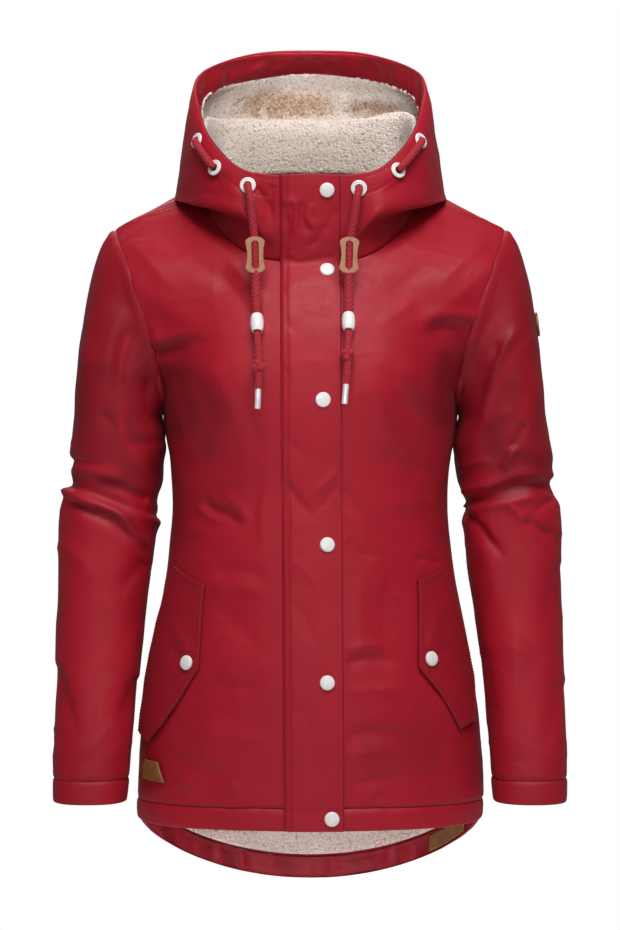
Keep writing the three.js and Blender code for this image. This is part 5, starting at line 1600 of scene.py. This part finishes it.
FLAP_RIGHT_FOLDS = [
    [[(190, 656), (180, 634), (166, 610)], 1.1, 4.5, 0.3, (0.15, 0.4)],
    [[(188, 664), (174, 652), (160, 640)], -0.9, 4.0, 0, (0.15, 0.4)],
    [[(192, 650), (190, 622), (184, 592)], -0.8, 4.5, 0, (0.15, 0.4)],
    [[(186, 672), (172, 684), (156, 700)], 0.7, 4.5, 0, (0.15, 0.4)],
]
FLAP_LEFT_FOLDS = [
    [[(428, 652), (434, 626), (440, 600)], 1.1, 4.5, -0.3, (0.15, 0.4)],
    [[(432, 660), (446, 650), (460, 644)], -0.9, 4.0, 0, (0.15, 0.4)],
    [[(426, 650), (424, 622), (426, 592)], -0.8, 4.5, 0, (0.15, 0.4)],
    [[(434, 672), (448, 690), (462, 706)], 0.7, 4.5, 0, (0.15, 0.4)],
]
flaps = {}
for side, name, table, folds in (
    (-1, "right", FLAP_RIGHT, FLAP_RIGHT_FOLDS),
    (1, "left", FLAP_LEFT, FLAP_LEFT_FOLDS),
):
    s = Sheet(flap_grid(table, 3.5, 1.7, side), 2.2)
    s.folds(folds)
    near = "left" if side > 0 else "right"  # the edge towards the placket
    back = "right" if side > 0 else "left"
    s.h += 0.4 * noise(s.p, 22, 101 + side)
    edge = np.minimum(np.minimum(s.d["left"], s.d["right"]), np.minimum(s.d["bottom"], s.d["top"]))
    s.h += 0.25 * np.exp(-(((edge - 3.0) / 1.6) ** 2)) - 0.3 * smooth(edge, 4, 7)
    # painted shade over the flap, darker along its inner stitch row and at its edge
    s.tone = 0.3 + 0.5 * np.exp(-(((edge - 5.2) / 0.7) ** 2)) + 0.6 * np.exp(-((edge / 0.8) ** 2))
    for sd in ("left", "right", "bottom", "top"):
        s.topstitch(sd, 1.4, 0.2)
        s.topstitch(sd, 5.2, 0.45)
    s.pucker(near, 0.3, 10, 7, seed=103)
    s.free("left", "right", "bottom", "top", radius=1.1)
    s.declare(s.make("cloth_flap_" + name, RED, "shell", ["flap_" + name]))
    flaps[name] = s

LABEL = [[0.595, 0.768, 0.583, 0.651], [0.318, 0.848, 0.303, 0.598]]
s = Sheet(flap_grid(LABEL, 3.0, 1.0, -1), 1.6)
s.h += 0.25 * noise(s.p, 14, 111)
for sd in ("left", "right", "bottom", "top"):
    s.groove(sd, 1.6, 0.35, 0.45)
s.free("left", "right", "bottom", "top", radius=0.8)
LABEL_FRONT = s.make("label_front_hem", BROWN, "leather", ["label_hem_front"])

t = np.linspace(0.5, 0.75, 1 + 3 * 14)
outer = body(np.zeros_like(t), t, False)
grid = np.stack([outer - np.array([0, 0, 1.0]) * (drop(t) * (1 - f))[:, None] for f in np.linspace(0.1, 0.9, 1 + 3 * 6)])
s = Sheet(grid, 1.6)
s.p = grid + s.n * 6.2
s.h += 0.3 * noise(s.p, 12, 112)
for sd in ("left", "right", "bottom", "top"):
    s.groove(sd, 1.6, 0.3, 0.45)
s.free("left", "right", "bottom", "top", radius=0.8)
s.make("label_back_hem", BROWN, "leather", ["label_hem_back"])


# ------------------------------------------------------------------ turned and set hardware
def unit(v):
    v = np.asarray(v, float)
    return v / np.linalg.norm(v)


def turned(name, profile, at, axis, material, nodes=(), turns=40, fine=4, sharp=None):
    """A profile of radius and height turned round axis at a point. It starts and ends on the axis, or closes on itself."""
    q = np.array(profile, float)
    ringed = q[0, 0] > 1e-6
    pts = q if fine == 1 else spline(q, np.linspace(0, len(q) - 1, fine * (len(q) - 1) + 1))
    pts[:, 0] = np.maximum(pts[:, 0], 0)
    if ringed:
        pts = pts[:-1]
    z = unit(axis)
    x = unit(np.cross(z, [0.3, 1, 0.2]))
    y = np.cross(z, x)
    th = np.arange(turns) * 2 * np.pi / turns
    verts, faces = [], []
    rings = []
    for r, h in pts:
        if r < 1e-6:
            rings.append([len(verts)])
            verts.append(at + z * h)
        else:
            rings.append(list(range(len(verts), len(verts) + turns)))
            for t in th:
                verts.append(at + r * (x * math.cos(t) + y * math.sin(t)) + z * h)
    pairs = list(zip(rings, rings[1:])) + ([(rings[-1], rings[0])] if ringed else [])
    for a, b in pairs:
        for i in range(turns):
            j = (i + 1) % turns
            if len(a) == 1 and len(b) == 1:
                continue
            if len(a) == 1:
                faces.append((a[0], b[i], b[j]))
            elif len(b) == 1:
                faces.append((a[i], b[0], a[j]))
            else:
                faces.append((a[i], b[i], b[j], a[j]))
    o = link(name, verts, faces, material, nodes, sharp)
    bm = bmesh.new()
    bm.from_mesh(o.data)
    bmesh.ops.recalc_face_normals(bm, faces=bm.faces)
    bm.to_mesh(o.data)
    bm.free()
    return o


def numeric_normal(f, a, b, e=0.02):
    du = f(a + e, b) - f(a - e, b)
    dv = f(a, b + e) - f(a, b - e)
    return unit(np.cross(dv, du))


def front_at(k, x):
    t = np.linspace(0, 0.6, 400)
    p = body(np.full_like(t, k), t, True)
    tt = np.interp(abs(x), p[:, 0], t)
    n = numeric_normal(lambda a, b: body(a, b, True), max(k, 0.03), tt)
    n = n if n[1] < 0 else -n
    q = body(k, tt, True)
    return np.array([x, q[1], q[2]]), n


def hood_at(s, l, side=1):
    p = hood(s, l)
    n = numeric_normal(lambda a, b: hood(a, b), s, l)
    n = n if n[0] * p[0] + n[1] * (p[1] + 12) > 0 else -n
    m = np.array([side, 1, 1])
    return p * m, n * m


CAP = [[0, -0.6], [7.0, -0.6], [7.6, 0.2], [7.75, 0.9], [7.45, 1.7], [6.4, 2.45], [3.6, 3.0], [0, 3.15]]
SNAPS = [  # what carries it, row or level, x
    ["hood", 4.238, 17.7],
    ["front", 8.82, 17.8],
    ["front", 6.317, 13.5],
    ["front", 3.522, 17.7],
    ["front", 1.703, 17.6],
    ["band", 0, 22.4],
]
for i, (on, at, x) in enumerate(SNAPS):
    if on == "hood":
        s = np.linspace(0, 1.6, 200)
        p = hood(s, np.full_like(s, at))
        pos = np.array([x, np.interp(x, p[:, 0], p[:, 1]), np.interp(x, p[:, 0], p[:, 2])])
        n = hood_at(0.4, at)[1]
    else:
        pos, n = front_at(at, x)
        if on == "band":
            pos = pos - [0, 0, 10]
    turned("snap_cap_%d" % (i + 1), CAP, pos + n * 4.0, n, WHITE, ["snap_%d" % (i + 1)])
for name, k, t, side in (("right", 1.925, 0.511, -1), ("left", 1.978, 0.502, 1)):
    p = body(k, t, True)
    n = numeric_normal(lambda a, b: body(a, b, True), k, t)
    n = n if n[1] < 0 else -n
    m = np.array([side, 1, 1])
    turned("snap_cap_pocket_" + name, CAP, (p + n * 4.1) * m, n * m, WHITE, ["snap_pocket_" + name])

EYELETS = {  # side of the hood, station, level
    "right_low": (-1, 1.57, 4.239),
    "right_mid": (-1, 2.652, 4.404),
    "right_top": (-1, 3.491, 4.909),
    "left_low": (1, 1.158, 4.248),
    "left_mid": (1, 2.409, 4.573),
    "left_top": (1, 3.373, 5.082),
}
RIM = [[4.2, 0.4], [5.2, 0.3], [7.6, 0.1], [8.5, 0.4], [8.3, 1.2], [7.2, 1.75], [6.2, 1.45], [5.4, 1.7], [4.5, 1.9], [4.0, 1.3], [4.2, 0.4]]
# a dark disc in each eyelet: painted shade inside the hole
DARK = lacquer("eyelet_shade", (0.02, 0.004, 0.006), 0.8, mottle=(0.012, 0.003, 0.004))
EYE = {}
for name, (side, st_, lv_) in EYELETS.items():
    p, n = hood_at(st_, lv_, side)
    EYE[name] = (p, n)
    turned("eyelet_ring_" + name, RIM, p + n * 0.9, n, WHITE, ["eyelet_" + name], turns=48)
    turned("eyelet_hole_" + name, [[0, 0.1], [4.2, 0.1], [4.3, 0.5], [4.1, 0.9], [0, 0.9]], p + n * 0.5, n, DARK, turns=24, fine=1)


# ------------------------------------------------------------------ drawcords
def curve_points(points, n):
    """Centripetal Catmull-Rom through points, n + 1 of them evenly along it."""
    p = np.array(points, float)
    p = np.concatenate([[2 * p[0] - p[1]], p, [2 * p[-1] - p[-2]]])
    out = []
    for i in range(1, len(p) - 2):
        a, b, c, d = p[i - 1 : i + 3]
        t0 = 0.0
        t1 = t0 + np.linalg.norm(b - a) ** 0.5
        t2 = t1 + np.linalg.norm(c - b) ** 0.5
        t3 = t2 + np.linalg.norm(d - c) ** 0.5
        t = np.linspace(t1, t2, 30)[:, None]
        A1 = (t1 - t) / (t1 - t0) * a + (t - t0) / (t1 - t0) * b
        A2 = (t2 - t) / (t2 - t1) * b + (t - t1) / (t2 - t1) * c
        A3 = (t3 - t) / (t3 - t2) * c + (t - t2) / (t3 - t2) * d
        B1 = (t2 - t) / (t2 - t0) * A1 + (t - t0) / (t2 - t0) * A2
        B2 = (t3 - t) / (t3 - t1) * A2 + (t - t1) / (t3 - t1) * A3
        out.append((t2 - t) / (t2 - t1) * B1 + (t - t1) / (t2 - t1) * B2)
    q = np.concatenate([out[0]] + [o[1:] for o in out[1:]])
    s = np.concatenate([[0], np.cumsum(np.linalg.norm(np.diff(q, axis=0), axis=1))])
    at = np.linspace(0, s[-1], n + 1)
    return np.stack([np.interp(at, s, q[:, c]) for c in range(3)], -1), s[-1]


def frames(line):
    """Axes across a line, turned as little as possible along it."""
    t = np.gradient(line, axis=0)
    t /= np.linalg.norm(t, axis=1, keepdims=True)
    x = np.zeros_like(t)
    v = unit(np.cross(t[0], [0.1, 1, 0.3]))
    for i in range(len(t)):
        v = unit(v - t[i] * (v @ t[i]))
        x[i] = v
    return t, x, np.cross(t, x)


def braid(name, points, radius, material, nodes=(), around=36, pitch=5.2, strands=5, ends=0.8, thick=None):
    """A plaited cord: strands cross over and under one another round it."""
    length = curve_points(points, 10)[1]
    n = int(length / 0.55)
    line, length = curve_points(points, n)
    t, x, y = frames(line)
    s = np.linspace(0, length, n + 1)[:, None]
    th = (np.arange(around) / around)[None, :]
    a = th * strands + s / pitch
    b = th * strands - s / pitch
    fa, fb = a - np.floor(a), b - np.floor(b)
    over = (np.floor(a) + np.floor(b)) % 2 < 1
    ha = np.sin(np.pi * fa) ** 0.6 * (0.62 + 0.38 * np.sin(np.pi * fb))
    hb = np.sin(np.pi * fb) ** 0.6 * (0.62 + 0.38 * np.sin(np.pi * fa))
    h = np.where(over, ha, hb)
    r = radius * (0.80 + 0.27 * h)
    if thick is not None:
        r = r * thick(s)
    closing = np.sqrt(np.clip(1 - np.clip(1 - np.minimum(s, length - s) / (ends * radius), 0, 1) ** 2, 0.02, 1))
    r = r * closing
    ang = 2 * np.pi * th
    p = line[:, None] + r[..., None] * (x[:, None] * np.cos(ang)[..., None] + y[:, None] * np.sin(ang)[..., None])
    verts = np.concatenate([p.reshape(-1, 3), line[:1], line[-1:]])
    faces = []
    m = around
    for i in range(n):
        for j in range(m):
            k = (j + 1) % m
            faces.append((i * m + j, i * m + k, (i + 1) * m + k, (i + 1) * m + j))
    c0, c1 = (n + 1) * m, (n + 1) * m + 1
    for j in range(m):
        k = (j + 1) % m
        faces.append((c0, k, j))
        faces.append((c1, n * m + j, n * m + k))
    o = link(name, verts, faces, material, nodes)
    return o, line * 0.001, length


HANG = {
    "right": [
        [-62.5, -114.5, 2],
        [-60.5, -115, -18],
        [-57.5, -113.5, -46],
        [-56.5, -116.5, -80],
        [-55.2, -126.5, -115],
        [-54.2, -139, -145],
        [-52.6, -148.5, -183],
        [-53.2, -149, -202],
    ],
    "left": [
        [49.2, -114.5, 0],
        [46.5, -115, -20],
        [41.5, -113.5, -48],
        [40.4, -116.5, -80],
        [39.8, -126.5, -115],
        [39.6, -139, -145],
        [38.3, -148.5, -180],
        [37, -149, -197],
    ],
}
ON_CORD = {
    "right": {"stopper": -61, "bead": -132, "knot": -177.5},
    "left": {"stopper": -61, "bead": -131, "knot": -165.5},
}
BEAD = [[4.2, -9.3], [5.2, -9.6], [5.9, -8.2], [6.7, -4.6], [6.95, 0], [6.7, 4.6], [5.9, 8.2], [5.2, 9.6], [4.2, 9.3], [4.1, 0], [4.2, -9.3]]
TIP = [[0, -10.3], [2.5, -10.4], [3.1, -9.9], [3.15, -8.5], [3.1, 0], [3.15, 8.5], [3.1, 9.9], [2.5, 10.4], [0, 10.3]]


def stopper(name, at, up, face, nodes):
    """A waisted tab of leather with a long slot."""
    up, face = unit(up), unit(face - up * (face @ up))
    x = np.cross(up, face)
    H, depth = 19.3, 2.4
    n = 72
    th = np.arange(n) * 2 * np.pi / n
    outer, inner = [], []
    for a in th:
        c, s_ = math.cos(a), math.sin(a)
        f = abs(s_) ** 0.62 * (1 if s_ > 0 else -1)
        v = H * f
        w = 8.4 + 2.2 * min(1, abs(f) / 0.72) ** 2
        e = max(0.0, (abs(f) - 0.62) / 0.38)
        u_ = w * math.sqrt(max(0, 1 - e**2.2)) * (1 if c > 0 else -1)
        if abs(c) < 1e-9:
            u_ = 0
        outer.append((u_, v))
        iu = 3.7 * c
        iv = 3.7 * s_ + (11.0 if s_ >= 0 else -11.0)
        inner.append((iu, iv))
    outer, inner = np.array(outer), np.array(inner)
    layers = []
    prof = [(0, 0.0, 0.5), (0, 0.5, 0.0), (0, depth - 0.6, 0.0), (0, depth, 0.7)]
    verts = []
    for edge, grow in ((outer, 1), (inner, -1)):
        for _, h, inset in prof:
            c = edge - grow * inset * edge / np.linalg.norm(edge, axis=1, keepdims=True)
            base = len(verts)
            for q in c:
                verts.append(at + x * q[0] + up * q[1] + face * h)
            layers.append(base)
    faces = []
    for ring_a, ring_b in zip(layers[:3], layers[1:4]):
        for i in range(n):
            j = (i + 1) % n
            faces.append((ring_a + i, ring_a + j, ring_b + j, ring_b + i))
    for ring_a, ring_b in zip(layers[4:7], layers[5:8]):
        for i in range(n):
            j = (i + 1) % n
            faces.append((ring_a + i, ring_b + i, ring_b + j, ring_a + j))
    for i in range(n):
        j = (i + 1) % n
        faces.append((layers[3] + i, layers[3] + j, layers[7] + j, layers[7] + i))
        faces.append((layers[0] + i, layers[4] + i, layers[4] + j, layers[0] + j))
    return link(name, verts, faces, TAN, nodes, 40)


def on_line(line, z):
    i = int(np.argmin(np.abs(line[:, 2] * 1000 - z)))
    i = min(max(i, 1), len(line) - 2)
    return line[i] * 1000, unit(line[i + 1] - line[i - 1])


def knot(name, at, down, radius, nodes, turn=0.0):
    """An overhand knot pulled close."""
    down = unit(down)
    z = -down
    x = unit(np.cross(z, [0.2, 1, 0.1]))
    y = np.cross(z, x)
    th = np.linspace(0, 2 * np.pi, 60)
    k = 1.62
    pts = []
    for a in th:
        u_ = (math.sin(a) + 2 * math.sin(2 * a)) * k
        v_ = (math.cos(a) - 2 * math.cos(2 * a)) * k * 0.8
        w_ = -math.sin(3 * a) * 3.1
        c, s_ = math.cos(turn), math.sin(turn)
        u2, v2 = c * u_ - s_ * v_, s_ * u_ + c * v_
        pts.append(at + x * u2 + z * v2 + y * w_)
    return braid(name, pts, radius, CORD_RED, nodes, around=24, pitch=4.4, strands=4, ends=0.3)


for side in ("right", "left"):
    p, n = EYE[side + "_low"]
    points = [p + n * 1.2, p + n * 5.0 - np.array([0, 0, 0.6])] + HANG[side]
    fat = lambda s: 0.97 + 0.17 * smooth(s, 88, 104) * (1 - smooth(s, 136, 142)) - 0.06 * smooth(s, 150, 160)
    obj, line, length = braid("drawcord_" + side, points, 4.1, CORD_RED, ["cord_" + side], thick=fat)
    where = ON_CORD[side]
    at, d = on_line(line, where["bead"])
    bead = turned("cord_bead_" + side, BEAD, at, -d, BEAD_WHITE, ["bead_" + side], turns=48)
    at, d = on_line(line, where["knot"])
    kn, _, _ = knot("cord_knot_" + side, at, d, 3.6, ["knot_" + side], 0.5 if side == "right" else -0.4)
    end, d = line[-1] * 1000, unit(line[-1] - line[-4])
    tip = turned("cord_tip_" + side, TIP, end + d * 8.7, -d, TIP_WHITE, ["tip_" + side], turns=32)
    at, d = on_line(line, where["stopper"])
    face = np.array([0, -1.0, 0])
    tab = stopper("cord_stopper_" + side, at + unit(face - d * (face @ d)) * 2.6, -d, face, ["stopper_" + side])
    print("cord", side, "length", round(length, 1))
    # the stretch outside the tunnel between the top and the mid eyelet
    (pa, na), (pb, nb) = EYE[side + "_top"], EYE[side + "_mid"]
    mid = (pa + pb) / 2 + unit(na + nb) * 6.8
    along_ab = unit(pb - pa)
    bridge, bline, blen = braid(
        "drawcord_bridge_" + side,
        [pa + na * 1.2, pa + na * 4.6 + along_ab * 2.5, mid, pb + nb * 4.6 - along_ab * 2.5, pb + nb * 1.2],
        4.0,
        CORD_RED,
        ["cord_bridge_" + side],
    )
    print("bridge", side, "length", round(blen, 1))

# round badge on the outside of the left sleeve
p = sleeve(-0.4, 0.49)
n = numeric_normal(lambda a, b: sleeve(a, b), -0.4, 0.49)
n = n if n[0] > 0 else -n
turned(
    "badge_sleeve",
    [[0, -1.0], [12.6, -1.0], [13, -0.6], [13, 1.0], [12.4, 1.6], [11.4, 1.6], [11.0, 1.35], [10.6, 1.6], [0, 1.6]],
    p + n * 2.4,
    n,
    BROWN,
    ["label_sleeve"],
    turns=48,
    fine=1,
)


# ------------------------------------------------------------------ every stitch, one short thread each
def thread(name):
    verts, faces = [], []
    m = 5
    for a, b, out in STITCHES:
        d = unit(b - a)
        y = unit(out - d * (out @ d))
        x = np.cross(d, y)
        length = np.linalg.norm(b - a)
        base = len(verts)
        for f, r, up in ((0.0, 0.10, -0.25), (0.18, 0.26, 0.05), (0.5, 0.28, 0.14), (0.82, 0.26, 0.05), (1.0, 0.10, -0.25)):
            c = a + d * length * f + y * up
            for j in range(m):
                t = 2 * math.pi * j / m
                verts.append(c + r * (x * math.cos(t) + y * math.sin(t)))
        for i in range(4):
            for j in range(m):
                k = (j + 1) % m
                faces.append((base + i * m + j, base + i * m + k, base + (i + 1) * m + k, base + (i + 1) * m + j))
        faces.append(tuple(base + j for j in range(m))[::-1])
        faces.append(tuple(base + 4 * m + j for j in range(m)))
    return link(name, verts, faces, THREAD)


print("stitches", len(STITCHES))
thread("stitching")


# ------------------------------------------------------------------ floor, light
def area(name, at, target, size, power, spread=180):
    light = bpy.data.lights.new(name, "AREA")
    light.shape = "RECTANGLE"
    light.size, light.size_y = size
    light.energy = power
    light.spread = math.radians(spread)
    o = bpy.data.objects.new(name, light)
    bpy.context.scene.collection.objects.link(o)
    o.location = at
    o.rotation_euler = (Vector(target) - Vector(at)).to_track_quat("-Z", "Y").to_euler()
    return o


floor_mesh = bpy.data.meshes.new("floor")
floor_mesh.from_pydata([(-1.6, -1.5, -1.05), (1.6, -1.5, -1.05), (1.6, 0.85, -1.05), (-1.6, 0.85, -1.05)], [], [(0, 1, 2, 3)])
floor = bpy.data.objects.new("floor", floor_mesh)
bpy.context.scene.collection.objects.link(floor)
fm, fnt, fp = nodes_of("pale_floor")
fp.inputs["Base Color"].default_value = (0.85, 0.85, 0.85, 1)
fp.inputs["Roughness"].default_value = 0.8
floor_mesh.materials.append(fm)

world = bpy.data.worlds.new("studio")
bpy.context.scene.world = world
world.use_nodes = True
wnt = world.node_tree
back = wnt.nodes["Background"]
back.inputs["Color"].default_value = (1, 1, 1, 1)
back.inputs["Strength"].default_value = 0.13
seen = wnt.nodes.new("ShaderNodeBackground")
seen.inputs["Color"].default_value = (1, 1, 1, 1)
seen.inputs["Strength"].default_value = 1.0
path = wnt.nodes.new("ShaderNodeLightPath")
mixer = wnt.nodes.new("ShaderNodeMixShader")
wnt.links.new(path.outputs["Is Camera Ray"], mixer.inputs["Fac"])
wnt.links.new(back.outputs["Background"], mixer.inputs[1])
wnt.links.new(seen.outputs["Background"], mixer.inputs[2])
wnt.links.new(mixer.outputs["Shader"], wnt.nodes["World Output"].inputs["Surface"])

area("key", (0.22, -1.6, 1.9), (0.0, 0, -0.3), (1.7, 1.2), 70)
area("front", (0.1, -3.3, 0.35), (0.0, 0, -0.35), (1.6, 1.4), 13)
area("rear", (-0.2, 2.0, 1.9), (0.0, 0, -0.3), (1.5, 1.0), 26)
area("low", (0.0, -2.2, -1.0), (0, 0, -0.5), (1.6, 0.4), 1.5)
area("hood", (0.0, -0.75, 0.24), (0.0, 0.12, 0.172), (0.34, 0.08), 0.19, 20)
area("waist", (0.0, -1.3, -0.21), (0.0, -0.12, -0.245), (0.10, 0.06), 0.02, 15)
area("hem", (0.0, -0.3, -0.83), (0.0, 0.12, -0.70), (0.42, 0.05), 0.115, 60)

bpy.context.scene.view_settings.view_transform = "Standard"
bpy.context.scene.view_settings.look = "None"
